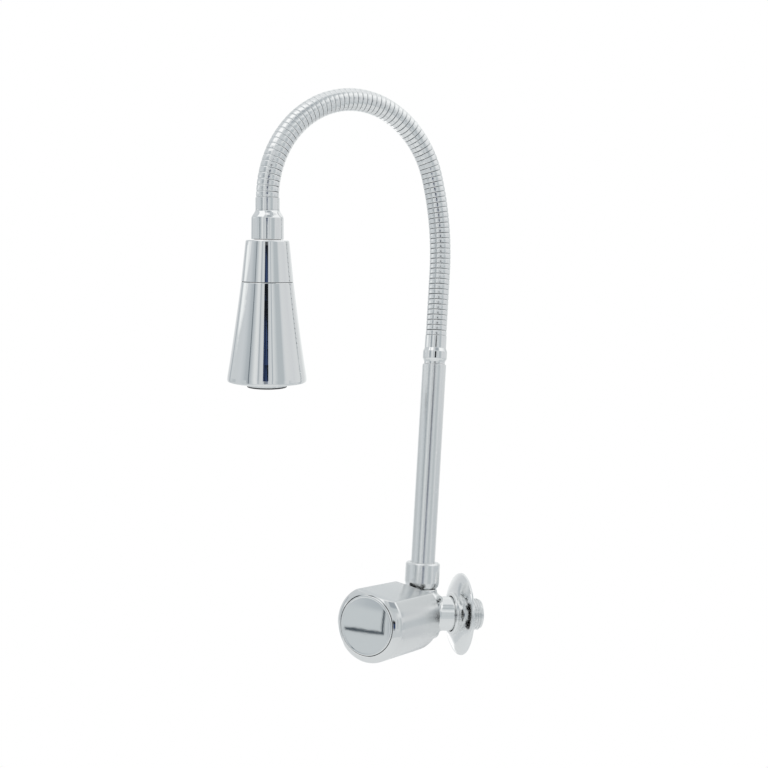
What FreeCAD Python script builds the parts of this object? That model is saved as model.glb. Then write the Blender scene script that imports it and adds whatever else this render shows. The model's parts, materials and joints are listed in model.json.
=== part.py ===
import FreeCAD, Part
import math
import os
import Sketcher

# Wall-mounted kitchen faucet: quarter-turn knob, swivel riser, bendable
# banded gooseneck and a two-jet cone spray head.  Millimetres, +Z up.
# Origin: centre of the wall flange's back face, on the inlet axis.
# The wall is the plane Y = 0, the room is on the -Y side.

SIZES = {
    # inlet and wall flange
    "wall_reach": 29.0,
    "inlet_thread": 20.955,
    "inlet_thread_depth": 13.0,
    "thread_shoulder": 2.0,
    "neck_diameter": 22.6,
    "inlet_bore": 10.0,
    "flange_diameter": 54.0,
    "flange_depth": 8.0,
    "flange_rim": 1.5,
    "flange_wall": 1.3,
    "flange_collar_width": 2.4,
    "flange_fit": 0.3,
    "flange_collar_height": 2.2,
    "grip_ring_depth": 2.2,
    "strainer_depth": 2.5,
    # valve body
    "core_diameter": 26.8,
    "core_drop": 12.5,
    "boss_base": 11.3,
    "boss_top": 16.8,
    "spigot_diameter": 19.0,
    "spigot_top": 27.0,
    "socket_floor": 13.0,
    "riser_port": 11.0,
    "riser_port_floor": 8.0,
    "passage_bore": 5.6,
    "passage_height": 9.3,
    "cartridge_boss": 26.4,
    "cartridge_boss_end": 33.0,
    "seat_height": 10.0,
    "chamber_diameter": 18.8,
    "chamber_length": 12.0,
    "cartridge_thread": 20.7,
    # ceramic cartridge, along the knob axis
    "seal_thickness": 1.9,
    "disc_thickness": 3.0,
    "disc_diameter": 16.4,
    "disc_port": 4.0,
    "disc_port_pitch": 4.4,
    "disc_gap": 0.05,
    "sleeve_wall": 0.9,
    "window_width": 9.0,
    "gasket_thickness": 1.4,
    "hex_corner_radius": 14.0,
    "hex_height": 5.0,
    "nose_diameter": 15.0,
    "nose_height": 2.6,
    "stem_diameter": 9.3,
    "stem_seal_depth": 5.0,
    "driver_thickness": 2.8,
    "tongue_width": 2.6,
    "tongue_depth": 1.2,
    "spline_diameter": 7.8,
    "spline_length": 10.6,
    "spline_teeth": 20,
    "spline_depth": 0.55,
    "spline_groove_width": 0.9,
    "oring_section": 1.8,
    "clip_thickness": 0.9,
    "clip_diameter": 12.4,
    "clip_mouth": 4.4,
    # knob
    "knob_rise": 1.0,
    "knob_diameter": 46.2,
    "knob_rear": 16.0,
    "knob_front": 67.6,
    "knob_wall": 2.5,
    "knob_edge": 3.0,
    "knob_flat_drop": 4.6,
    "knob_flat_tilt": 9.5,
    "knob_web": 3.0,
    "hub_wall": 2.8,
    "insert_wall": 3.0,
    "insert_face": 2.5,
    "cap_inset": 5.3,
    "cap_recess": 2.7,
    "cap_rise": 2.4,
    "cap_rim": 1.8,
    "cap_edge": 1.6,
    "cap_dome": 0.7,
    "cap_wall": 1.6,
    "screw_diameter": 3.3,
    "screw_length": 14.0,
    "screw_head": 7.6,
    "screw_head_height": 2.5,
    # riser, nut and swivel
    "nut_diameter": 23.0,
    "nut_bottom": 17.2,
    "nut_top": 34.0,
    "nut_shoulder": 2.4,
    "nut_roof": 4.0,
    "riser_diameter": 16.0,
    "riser_bore": 14.0,
    "riser_heel_bore": 11.0,
    "riser_foot": 14.5,
    "riser_heel_top": 34.0,
    "riser_top": 166.8,
    "riser_edge": 0.8,
    "collar_thickness": 2.4,
    "collar_diameter": 18.6,
    "collar_slit": 1.2,
    "swivel_fit": 0.06,
    "lower_ring": 16.4,
    "upper_ring": 20.6,
    # lower hose ferrule
    "ferrule_groove": 2.2,
    "ferrule_groove_diameter": 14.4,
    "bulge_diameter": 16.5,
    "bulge_length": 8.6,
    "sleeve_diameter": 14.6,
    "sleeve_length": 8.6,
    "ferrule_plug": 12.0,
    # gooseneck
    "spout_swing": 20.8,
    "hose_diameter": 14.3,
    "hose_bore": 6.5,
    "band_depth": 0.45,
    "link_count": 10,
    "bands_per_link": 8,
    "ring_sides": 20,
    "link_gap": 0.9,
    "hose_straight": 43.2,
    "rise_radius": 182.0,
    "rise_turn": 20.5,
    "crown_radius": 58.1,
    "crown_turn": 70.9,
    "fall_radius": 64.2,
    "fall_turn": 96.7,
    "head_lean": 7.65,
    "lean_joint": 6,
    # spray head, along its own axis from the hose end
    "head_ferrule_diameter": 14.9,
    "head_ferrule_length": 8.9,
    "stub_diameter": 12.1,
    "stub_length": 4.5,
    "stub_flange": 15.8,
    "stub_flange_height": 2.5,
    "head_collar_diameter": 20.1,
    "head_collar_end": 25.7,
    "head_collar_shoulder": 3.9,
    "washer_thickness": 1.8,
    "nipple_diameter": 16.4,
    "upper_shell_top": 25.9,
    "upper_shell_diameter": 26.9,
    "upper_shell_edge": 0.7,
    "seam_height": 51.4,
    "seam_diameter": 32.3,
    "seam_gap": 0.3,
    "shell_wall": 1.7,
    "shell_roof": 2.6,
    "shell_tail": 6.0,
    "core_tube_diameter": 16.8,
    "core_tube_bore": 12.3,
    "waterway_bore": 8.0,
    "core_plate_inset": 0.6,
    "core_plate_foot": 2.0,
    "core_plate_thickness": 3.0,
    "lower_shell_diameter": 49.8,
    "lower_shell_band": 111.6,
    "lower_shell_end": 114.1,
    "lower_shell_edge": 1.5,
    "bearing_height": 3.0,
    "bearing_fit": 0.1,
    "core_seal_rise": 1.0,
    "core_seal_section": 1.6,
    "core_seal_groove": 1.2,
    "shell_clip_width": 2.2,
    "jet_disc_thickness": 2.0,
    "jet_disc_inset": 2.35,
    "jet_gap": 0.3,
    "jet_chamber": 4.9,
    "spray_plate_thickness": 3.0,
    "spray_plate_inset": 1.6,
    "spray_plate_play": 0.2,
    "spray_holes": 12,
    "spray_hole": 1.6,
    "spray_pitch": 34.8,
    "nozzle_diameter": 25.4,
    "nozzle_bore": 21.0,
    "nozzle_rise": 3.6,
    "nozzle_edge": 0.8,
    "aerator_inset": 1.4,
    "aerator_thickness": 3.0,
    "aerator_holes": 6,
    "aerator_hole": 3.6,
    "aerator_pitch": 12.4,
}

document = FreeCAD.newDocument("WallFaucet")
sheet = document.addObject("Spreadsheet::Sheet", "Sizes")
for row, (alias, number) in enumerate(SIZES.items(), start=1):
    sheet.set("A%d" % row, alias.replace("_", " "))
    sheet.set("B%d" % row, str(number))
    sheet.setAlias("B%d" % row, alias)
document.recompute()


class Size:
    """A length that carries its value and the sheet formula behind it."""

    def __init__(self, value, formula):
        self.value = value
        self.formula = formula

    def combine(self, other, sign, swapped=False):
        other = other if isinstance(other, Size) else Size(float(other), "%g" % other)
        first, second = (other, self) if swapped else (self, other)
        results = {
            "+": first.value + second.value,
            "-": first.value - second.value,
            "*": first.value * second.value,
            "/": first.value / second.value if second.value else 0.0,
        }
        return Size(results[sign], "(%s %s %s)" % (first.formula, sign, second.formula))

    def __add__(self, other):
        return self.combine(other, "+")

    def __radd__(self, other):
        return self.combine(other, "+", True)

    def __sub__(self, other):
        return self.combine(other, "-")

    def __rsub__(self, other):
        return self.combine(other, "-", True)

    def __mul__(self, other):
        return self.combine(other, "*")

    def __rmul__(self, other):
        return self.combine(other, "*", True)

    def __truediv__(self, other):
        return self.combine(other, "/")

    def root(self):
        return Size(math.sqrt(self.value), "sqrt(%s)" % self.formula)


def size(alias):
    return Size(float(sheet.get(alias)), "Sizes." + alias)


def count(alias):
    return int(sheet.get(alias))


def value_of(length):
    return length.value if isinstance(length, Size) else float(length)


def bind(target, path, length):
    """Set a property to a sheet formula, or to a plain number."""
    if isinstance(length, Size):
        target.setExpression(path, length.formula)
    else:
        setattr(target, path, length)


class Frame:
    """A place and direction that a piece is built on: local +Z is its axis."""

    def __init__(self, at, rotation):
        self.at = at
        self.rotation = rotation

    def placement(self):
        return FreeCAD.Placement(FreeCAD.Vector(*[value_of(x) for x in self.at]), self.rotation)

    def seat(self, piece):
        piece.Placement = self.placement()
        for letter, length in zip("xyz", self.at):
            if isinstance(length, Size):
                piece.setExpression(".Placement.Base." + letter, length.formula)

    def point(self, x, y, z):
        return self.placement().multVec(FreeCAD.Vector(value_of(x), value_of(y), value_of(z)))


def origin_plane(body, role):
    return [item for item in body.Origin.OriginFeatures if item.Role == role][0]


def arc_centre(start, end, radius):
    """Centre of the short arc from start to end; a positive radius turns left."""
    middle = (start + end) * 0.5
    half = (end - start) * 0.5
    rise = math.sqrt(max(radius * radius - half.Length ** 2, 0.0))
    left = FreeCAD.Vector(-half.y, half.x, 0).normalize()
    return middle + left * (rise if radius > 0 else -rise)


def pin_point(sketch, geometry, vertex, point):
    """Fix one vertex of the sketch at a point given in sheet formulas."""
    kinds = (("DistanceX", -2), ("DistanceY", -1))
    for length, (kind, axis) in zip(point, kinds):
        if value_of(length) == 0.0 and not isinstance(length, Size):
            sketch.addConstraint(Sketcher.Constraint("PointOnObject", geometry, vertex, axis))
            continue
        datum = value_of(length)
        index = sketch.addConstraint(
            Sketcher.Constraint(kind, -1, 1, geometry, vertex, datum))
        if isinstance(length, Size):
            sketch.setExpression("Constraints[%d]" % index, length.formula)


def draw_loop(sketch, points):
    """Closed outline.  A point is (x, y) or (x, y, r): r is the radius of the
    arc that leads to it from the point before.  An arc that ends on the axis
    keeps its centre there."""
    plain = [FreeCAD.Vector(value_of(p[0]), value_of(p[1]), 0) for p in points]
    ends = []
    for number, point in enumerate(points):
        start = plain[number - 1]
        end = plain[number]
        if len(point) == 3:
            radius = value_of(point[2])
            centre = arc_centre(start, end, radius)
            first, last = (start, end) if radius > 0 else (end, start)
            circle = Part.Circle(centre, FreeCAD.Vector(0, 0, 1), abs(radius))
            begin = math.atan2(first.y - centre.y, first.x - centre.x)
            finish = math.atan2(last.y - centre.y, last.x - centre.x)
            if finish < begin:
                finish += 2 * math.pi
            geometry = sketch.addGeometry(Part.ArcOfCircle(circle, begin, finish))
            ends.append((geometry, 1, 2) if radius > 0 else (geometry, 2, 1))
        else:
            geometry = sketch.addGeometry(Part.LineSegment(start, end))
            ends.append((geometry, 1, 2))
    for number, (geometry, begin, finish) in enumerate(ends):
        following, next_begin, _ = ends[(number + 1) % len(ends)]
        sketch.addConstraint(
            Sketcher.Constraint("Coincident", geometry, finish, following, next_begin))
        pin_point(sketch, geometry, finish, points[number])
        if len(points[number]) == 3 and value_of(points[number][0]) == 0.0:
            sketch.addConstraint(Sketcher.Constraint("PointOnObject", geometry, 3, -2))
        elif len(points[number]) == 3:
            radius = points[number][2]
            index = sketch.addConstraint(
                Sketcher.Constraint("Radius", geometry, abs(value_of(radius))))
            if isinstance(radius, Size):
                sketch.setExpression("Constraints[%d]" % index, "abs(%s)" % radius.formula)


def new_sketch(body, name, role, lift=None):
    sketch = body.newObject("Sketcher::SketchObject", name)
    sketch.AttachmentSupport = [(origin_plane(body, role), "")]
    sketch.MapMode = "FlatFace"
    if lift is not None:
        sketch.AttachmentOffset = FreeCAD.Placement(
            FreeCAD.Vector(0, 0, value_of(lift)), FreeCAD.Rotation())
        if isinstance(lift, Size):
            sketch.setExpression(".AttachmentOffset.Base.z", lift.formula)
    return sketch


def turned(label, frame, outline):
    """A body of revolution about its local Z from (radius, height) points."""
    body = document.addObject("PartDesign::Body", label)
    body.Label = label
    sketch = new_sketch(body, label + "_outline", "XZ_Plane")
    draw_loop(sketch, outline)
    revolution = body.newObject("PartDesign::Revolution", label + "_turn")
    revolution.Profile = sketch
    revolution.ReferenceAxis = (sketch, ["V_Axis"])
    revolution.Angle = 360.0
    frame.seat(body)
    document.recompute()
    return body


def ring(label, frame, inner, outer, low, high):
    return turned(label, frame, [(inner, low), (outer, low), (outer, high), (inner, high)])


def circle_at(sketch, x, y, radius):
    centre = FreeCAD.Vector(value_of(x), value_of(y), 0)
    geometry = sketch.addGeometry(
        Part.Circle(centre, FreeCAD.Vector(0, 0, 1), value_of(radius)))
    pin_point(sketch, geometry, 3, (x, y))
    index = sketch.addConstraint(Sketcher.Constraint("Radius", geometry, value_of(radius)))
    if isinstance(radius, Size):
        sketch.setExpression("Constraints[%d]" % index, radius.formula)


def cut_outline(body, name, low, depth, loops=(), circles=()):
    """Pocket upward from height low, of closed outlines and (x, y, radius) circles."""
    before = body.Tip.Shape.Volume
    sketch = new_sketch(body, name + "_outline", "XY_Plane", low)
    for loop in loops:
        draw_loop(sketch, loop)
    for x, y, radius in circles:
        circle_at(sketch, x, y, radius)
    pocket = body.newObject("PartDesign::Pocket", name)
    pocket.Profile = sketch
    pocket.Type = 0
    bind(pocket, "Length", depth)
    pocket.Reversed = True
    document.recompute()
    assert pocket.Shape.Volume < before - 1e-3, name + " cuts nothing"
    return pocket


def polar(body, feature, name, copies):
    pattern = body.newObject("PartDesign::PolarPattern", name)
    pattern.Originals = [feature]
    pattern.Axis = (origin_plane(body, "Z_Axis"), [""])
    pattern.Angle = 360.0
    pattern.Occurrences = copies
    body.Tip = pattern
    document.recompute()
    return pattern


def soften(body, name, radius, rims):
    """Fillet the round edges of the given (radius, height)."""
    base = body.Tip
    names = []
    for number, edge in enumerate(base.Shape.Edges, start=1):
        if edge.Degenerated or not isinstance(edge.Curve, Part.Circle):
            continue
        centre = edge.Curve.Center
        for rim_radius, height in rims:
            same_size = abs(edge.Curve.Radius - value_of(rim_radius)) < 1e-3
            if same_size and abs(centre.z - value_of(height)) < 1e-3:
                names.append("Edge%d" % number)
    assert names, name + " finds no edge"
    fillet = body.newObject("PartDesign::Fillet", name)
    fillet.Base = (base, names)
    bind(fillet, "Radius", radius)
    document.recompute()
    return fillet


def primitive(kind, name, frame, **lengths):
    item = document.addObject(kind, name)
    for path, length in lengths.items():
        bind(item, path, length)
    frame.seat(item)
    return item


def fuse(label, solids):
    result = document.addObject("Part::MultiFuse", label)
    result.Shapes = solids
    result.Label = label
    return result


def cut(label, base, tools):
    result = document.addObject("Part::Cut", label)
    result.Base = base
    result.Tool = fuse(label + "_hollow", tools)
    result.Label = label
    document.recompute()


# Directions: the inlet runs along Y, the knob points 45 degrees to the right
# of the wall's normal, and the spout swings in the upright plane that holds
# the direction "ahead".
UP = FreeCAD.Vector(0, 0, 1)
KNOB_AXIS = FreeCAD.Vector(1, -1, 0).normalize()
SWING = math.radians(size("spout_swing").value)
AHEAD = FreeCAD.Vector(math.sin(SWING), -math.cos(SWING), 0)
BEND_AXIS = UP.cross(AHEAD)

reach = size("wall_reach")
to_room = FreeCAD.Rotation(UP, FreeCAD.Vector(0, -1, 0))
to_wall = FreeCAD.Rotation(UP, FreeCAD.Vector(0, 1, 0))
tilt = math.radians(size("knob_flat_tilt").value)
across = FreeCAD.Vector(1, 1, 0).normalize()
flat_normal = UP * math.cos(tilt) + across * math.sin(tilt)
knob_turn = FreeCAD.Rotation(flat_normal.cross(KNOB_AXIS), flat_normal, KNOB_AXIS, "ZYX")

wall = Frame((0, 0, 0), to_room)
inlet = Frame((0, 0, 0), to_wall)
riser = Frame((0, 0 - reach, 0), FreeCAD.Rotation())
knob = Frame((0, 0 - reach, size("knob_rise")), knob_turn)


def wall_pieces():
    """Domed flange, its rubber grip ring and the strainer in the inlet."""
    neck = size("neck_diameter") / 2
    hole = neck + size("flange_fit")
    edge = size("flange_diameter") / 2
    depth = size("flange_depth")
    rim = size("flange_rim")
    sheet_wall = size("flange_wall")
    collar = hole + size("flange_collar_width")
    foot = depth - size("flange_collar_height")
    dome = sphere_radius(edge, rim, collar, foot)
    turned("wall_flange", wall, [
        (edge - sheet_wall, 0), (edge, 0), (edge, rim), (collar, foot, dome),
        (collar, depth), (hole, depth), (hole, foot - sheet_wall),
        (collar, foot - sheet_wall)])
    ring("flange_grip_ring", wall, neck + 0.05, collar - 0.1,
         foot - sheet_wall - size("grip_ring_depth"), foot - sheet_wall - 0.1)
    thread_end = size("inlet_thread_depth")
    ring("inlet_strainer", inlet, size("inlet_bore") / 2 - 1.4, size("inlet_bore") / 2 + 1.9,
         thread_end - size("strainer_depth"), thread_end)


def valve_body():
    """Chromed brass elbow: inlet neck, riser spigot and cartridge boss, with
    the inlet port, the valve chamber and the passage up to the riser."""
    core = size("core_diameter") / 2
    neck = size("neck_diameter") / 2
    thread = size("inlet_thread") / 2
    shoulder = size("thread_shoulder")
    drop = size("core_drop")
    base = size("boss_base")
    top = size("boss_top")
    spigot = size("spigot_diameter") / 2
    at_axis = riser.at

    def along_knob(start, height=0.0):
        place = knob.placement().Base + KNOB_AXIS * value_of(start) + UP * value_of(height)
        return Frame((place.x, place.y, place.z), FreeCAD.Rotation(UP, KNOB_AXIS))

    solid = [
        primitive("Part::Cylinder", "core", Frame((0, at_axis[1], 0 - drop), FreeCAD.Rotation()),
                  Radius=core, Height=drop + base),
        primitive("Part::Cone", "core_foot",
                  Frame((0, at_axis[1], 0 - drop - 3.0), FreeCAD.Rotation()),
                  Radius1=core - 4.0, Radius2=core, Height=3.0),
        primitive("Part::Cone", "riser_boss", Frame((0, at_axis[1], base), FreeCAD.Rotation()),
                  Radius1=core, Radius2=spigot + 0.2, Height=top - base),
        primitive("Part::Cylinder", "riser_spigot",
                  Frame((0, at_axis[1], top), FreeCAD.Rotation()),
                  Radius=spigot, Height=size("spigot_top") - top),
        primitive("Part::Cylinder", "inlet_neck", Frame((0, 0 - shoulder, 0), to_room),
                  Radius=neck, Height=reach - shoulder),
        primitive("Part::Cylinder", "inlet_thread",
                  Frame((0, size("inlet_thread_depth"), 0), to_room),
                  Radius=thread, Height=size("inlet_thread_depth") + shoulder),
        primitive("Part::Cylinder", "cartridge_boss", along_knob(0.0),
                  Radius=size("cartridge_boss") / 2, Height=size("cartridge_boss_end")),
    ]
    strainer_seat = size("inlet_thread_depth") - size("strainer_depth")
    seat = size("seat_height")
    chamber_end = seat + size("chamber_length")
    hollow = [
        primitive("Part::Cylinder", "inlet_way", Frame((0, strainer_seat, 0), to_room),
                  Radius=size("inlet_bore") / 2, Height=reach + strainer_seat),
        primitive("Part::Cylinder", "strainer_seat",
                  Frame((0, size("inlet_thread_depth"), 0), to_room),
                  Radius=size("inlet_bore") / 2 + 2.0, Height=size("strainer_depth")),
        primitive("Part::Cylinder", "seat_port", along_knob(0.0),
                  Radius=size("inlet_bore") / 2, Height=seat),
        primitive("Part::Cylinder", "valve_chamber", along_knob(seat),
                  Radius=size("chamber_diameter") / 2, Height=size("chamber_length")),
        primitive("Part::Cylinder", "cartridge_thread", along_knob(chamber_end),
                  Radius=size("cartridge_thread") / 2,
                  Height=size("cartridge_boss_end") - chamber_end),
        primitive("Part::Cylinder", "riser_port",
                  Frame((0, at_axis[1], size("riser_port_floor")), FreeCAD.Rotation()),
                  Radius=size("riser_port") / 2,
                  Height=size("socket_floor") - size("riser_port_floor")),
        primitive("Part::Cylinder", "riser_socket",
                  Frame((0, at_axis[1], size("socket_floor")), FreeCAD.Rotation()),
                  Radius=size("riser_diameter") / 2 + size("swivel_fit"),
                  Height=size("spigot_top") - size("socket_floor")),
        primitive("Part::Cylinder", "outlet_passage", along_knob(0.0, size("passage_height")),
                  Radius=size("passage_bore") / 2, Height=seat + 3.0),
    ]
    cut("valve_body", fuse("casting", solid), hollow)


def cartridge_pieces():
    """Ceramic-disc cartridge, screwed into the boss from the knob side."""
    seat = size("seat_height")
    seal_top = seat + size("seal_thickness")
    thick = size("disc_thickness")
    gap = size("disc_gap")
    disc = size("disc_diameter") / 2
    ring("seat_seal", knob, size("inlet_bore") / 2 + 0.2, disc, seat, seal_top)
    fixed = ring("fixed_disc", knob, 0, disc, seal_top, seal_top + thick)
    moving_low = seal_top + thick + gap
    moving_top = moving_low + thick
    moving = ring("moving_disc", knob, 0, disc - 0.3, moving_low, moving_top)

    bore = disc + 0.15
    sleeve = bore + size("sleeve_wall")
    chamber_end = seat + size("chamber_length")
    shoulder = chamber_end - 0.8
    stem = size("stem_diameter") / 2
    guide = stem + 0.06
    boss_end = size("cartridge_boss_end")
    hex_low = boss_end + size("gasket_thickness")
    hex_top = hex_low + size("hex_height")
    nose_top = hex_top + size("nose_height")
    thread = size("cartridge_thread") / 2 - 0.05
    housing = turned("cartridge_housing", knob, [
        (bore, seal_top), (sleeve, seal_top), (sleeve, chamber_end), (thread, chamber_end),
        (thread, hex_low), (thread, hex_top), (size("nose_diameter") / 2, hex_top),
        (size("nose_diameter") / 2, nose_top), (guide, nose_top), (guide, shoulder),
        (bore, shoulder)])
    corner = size("hex_corner_radius")
    add_hex(housing, corner, hex_low, size("hex_height"), guide)
    side_windows(housing, bore, moving_low, size("window_width"))

    ring("housing_gasket", knob, thread + 0.05, size("cartridge_boss") / 2 - 0.2,
         boss_end, hex_low)

    driver_low = moving_top + gap
    driver_top = driver_low + size("driver_thickness")
    clip_low = nose_top + 0.1
    clip_top = clip_low + size("clip_thickness") + 0.1
    spline = size("spline_diameter") / 2
    groove_low = boss_end - size("stem_seal_depth")
    groove_top = groove_low + size("oring_section") + 0.2
    groove = stem - 1.3
    stem_end = clip_top + size("spline_length")
    tap = size("screw_diameter") / 2 + 0.05
    spindle = turned("spindle", knob, [
        (0, driver_low), (disc - 0.3, driver_low), (disc - 0.3, driver_top),
        (stem, driver_top), (stem, groove_low), (groove, groove_low), (groove, groove_top),
        (stem, groove_top), (stem, clip_low), (spline - 0.6, clip_low),
        (spline - 0.6, clip_top), (spline, clip_top), (spline, stem_end), (tap, stem_end),
        (tap, stem_end - size("screw_length")), (0, stem_end - size("screw_length"))])
    cut_spline(spindle, spline, stem_end, size("spline_length"))
    ring("spindle_seal", knob, groove + 0.03, stem + 0.02, groove_low + 0.1, groove_top - 0.1)
    clip = ring("retaining_clip", knob, spline - 0.55, size("clip_diameter") / 2,
                clip_low, clip_low + size("clip_thickness"))
    mouth = size("clip_diameter") / 2 + 1.0
    half = size("clip_mouth") / 2
    cut_outline(clip, "clip_opening", clip_low - 0.5, size("clip_thickness") + 1.0,
                [[(0 - half, 0), (half, 0), (half, mouth), (0 - half, mouth)]])
    tongue_and_slot(spindle, moving, driver_low, disc)
    disc_holes(fixed, "fixed_ports", seal_top, thick, False)
    disc_holes(moving, "moving_ports", moving_low, thick, True)
    return stem_end


def add_hex(body, corner, low, height, hole):
    """Hexagon on the housing, for the spanner, round the stem guide."""
    sketch = new_sketch(body, "hex_outline", "XY_Plane", low)
    points = []
    for number in range(6):
        angle = math.radians(60 * number)
        points.append((corner * round(math.cos(angle), 9), corner * round(math.sin(angle), 9)))
    draw_loop(sketch, [(x if x.value else 0, y if abs(y.value) > 1e-6 else 0) for x, y in points])
    circle_at(sketch, 0, 0, hole)
    pad = body.newObject("PartDesign::Pad", "spanner_hex")
    pad.Profile = sketch
    bind(pad, "Length", height)
    document.recompute()


def drill(body, name, x, y, radius, low, depth, copies):
    """A round hole upward from height low, repeated about the axis."""
    pocket = cut_outline(body, name, low, depth, circles=[(x, y, radius)])
    polar(body, pocket, name + "_ring", copies)


def disc_holes(body, name, low, thickness, crossed):
    pitch = size("disc_port_pitch")
    hole = size("disc_port") / 2
    x, y = (pitch, 0) if crossed else (0, pitch)
    drill(body, name, x, y, hole, low - 0.5, thickness + 1.0, 2)


def side_windows(body, bore, low, width):
    """Water leaves the discs sideways through two windows in the sleeve."""
    cut_outline(body, "windows", low, size("disc_thickness") + 1.2,
                [slab(width / 2, bore + 3.0)])


def slab(half, long):
    """Outline of a strip across the axis, half wide each side."""
    return [(half, long), (0 - half, long), (0 - half, 0 - long), (half, 0 - long)]


def cut_spline(body, spline, end, length):
    """V grooves round the stem's end: one pocket, patterned about the axis."""
    depth = size("spline_depth")
    half = size("spline_groove_width") / 2
    vee = [(0, spline - depth), (half, spline + 0.1), (0 - half, spline + 0.1)]
    groove = cut_outline(body, "spline_groove", end - length - 0.2, length + 0.4, [vee])
    polar(body, groove, "spline", count("spline_teeth"))


def tongue_and_slot(spindle, disc_body, low, disc):
    """The spindle's tongue drives the moving disc by a slot in its back."""
    half = size("tongue_width") / 2
    reach_out = disc - 1.6
    depth = size("tongue_depth")
    sketch = new_sketch(spindle, "tongue_outline", "XY_Plane", low - depth)
    draw_loop(sketch, slab(half, reach_out))
    pad = spindle.newObject("PartDesign::Pad", "tongue")
    pad.Profile = sketch
    bind(pad, "Length", depth + 0.5)
    document.recompute()
    cut_outline(disc_body, "drive_slot", low - depth - 0.15, depth + 1.0,
                [slab(half + 0.08, reach_out + 0.08)])


def knob_pieces(stem_end):
    """Flat-topped knob with its splined insert, screw and pressed-in cap."""
    outer = size("knob_diameter") / 2
    rear = size("knob_rear")
    front = size("knob_front")
    wall_size = size("knob_wall")
    cap = outer - size("cap_inset")
    cap_floor = front - size("cap_recess")
    web_back = cap_floor - size("knob_web")
    shank = size("screw_diameter") / 2
    insert = size("spline_diameter") / 2 + size("insert_wall")
    insert_low = stem_end - size("spline_length") + 0.5
    insert_top = web_back
    hub = insert + 0.08 + size("hub_wall")
    shell = turned("knob_shell", knob, [
        (shank + 0.5, cap_floor), (shank + 0.5, web_back), (shank + 0.5, rear),
        (outer, rear), (outer, front), (cap + 0.15, front), (cap + 0.15, cap_floor)])
    soften(shell, "front_edge", size("knob_edge"), [(outer, front)])
    flat = outer - size("knob_flat_drop")
    far = outer + 2.0
    cut_outline(shell, "top_flat", rear - 1.0, front - rear + 2.0,
                [[(far, flat), (far, far), (0 - far, far), (0 - far, flat)]])
    inner = outer - wall_size
    inner_flat = flat - wall_size
    half = (inner * inner - inner_flat * inner_flat).root()
    bore_low = insert_low - 0.2
    cut_outline(shell, "hollow", rear - 0.5, web_back - rear + 0.5,
                [[(0 - half, inner_flat), (0, 0 - inner, inner), (half, inner_flat, inner)]],
                [(0, 0, hub)])
    cut_outline(shell, "hub_bore", bore_low, web_back - bore_low,
                circles=[(0, 0, insert + 0.08)])
    cut_outline(shell, "hub_trim", rear - 0.5, insert_low - rear + 0.5,
                circles=[(0, 0, hub + 0.2)])

    turned("knob_insert", knob, [
        (size("spline_diameter") / 2 + 0.05, insert_low), (insert, insert_low),
        (insert, insert_top), (shank + 0.4, insert_top), (shank + 0.4, stem_end + 0.3),
        (size("spline_diameter") / 2 + 0.05, stem_end + 0.3)])
    head = size("screw_head") / 2
    crown = size("screw_head_height") - 1.2
    turned("knob_screw", knob, [
        (0, stem_end - size("screw_length") + 1.0), (shank, stem_end - size("screw_length") + 1.0),
        (shank, cap_floor), (head, cap_floor), (head, cap_floor + 1.2),
        (0, cap_floor + size("screw_head_height"), dome_radius(head, crown))])
    top = front + size("cap_rise")
    skirt = cap - size("cap_wall")
    rim = cap - size("cap_rim")
    dome = size("cap_dome")
    roof = top - size("cap_wall")
    cover = turned("knob_cap", knob, [
        (0, roof), (skirt, roof), (skirt, cap_floor + 0.05), (cap, cap_floor + 0.05),
        (cap, top), (rim, top), (0, top + dome, dome_radius(rim, dome))])
    soften(cover, "cap_round", size("cap_edge"), [(cap, top)])


def sphere_radius(edge, rim, collar, foot):
    """Radius of the sphere, centred on the axis, through both rims of a dome."""
    centre = (collar * collar + foot * foot - edge * edge - rim * rim) / ((foot - rim) * 2)
    return (edge * edge + (rim - centre) * (rim - centre)).root()


def dome_radius(edge, rise):
    """Radius of the sphere through a rim of radius edge, rising by rise."""
    return (edge * edge + rise * rise) / (rise * 2)


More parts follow.
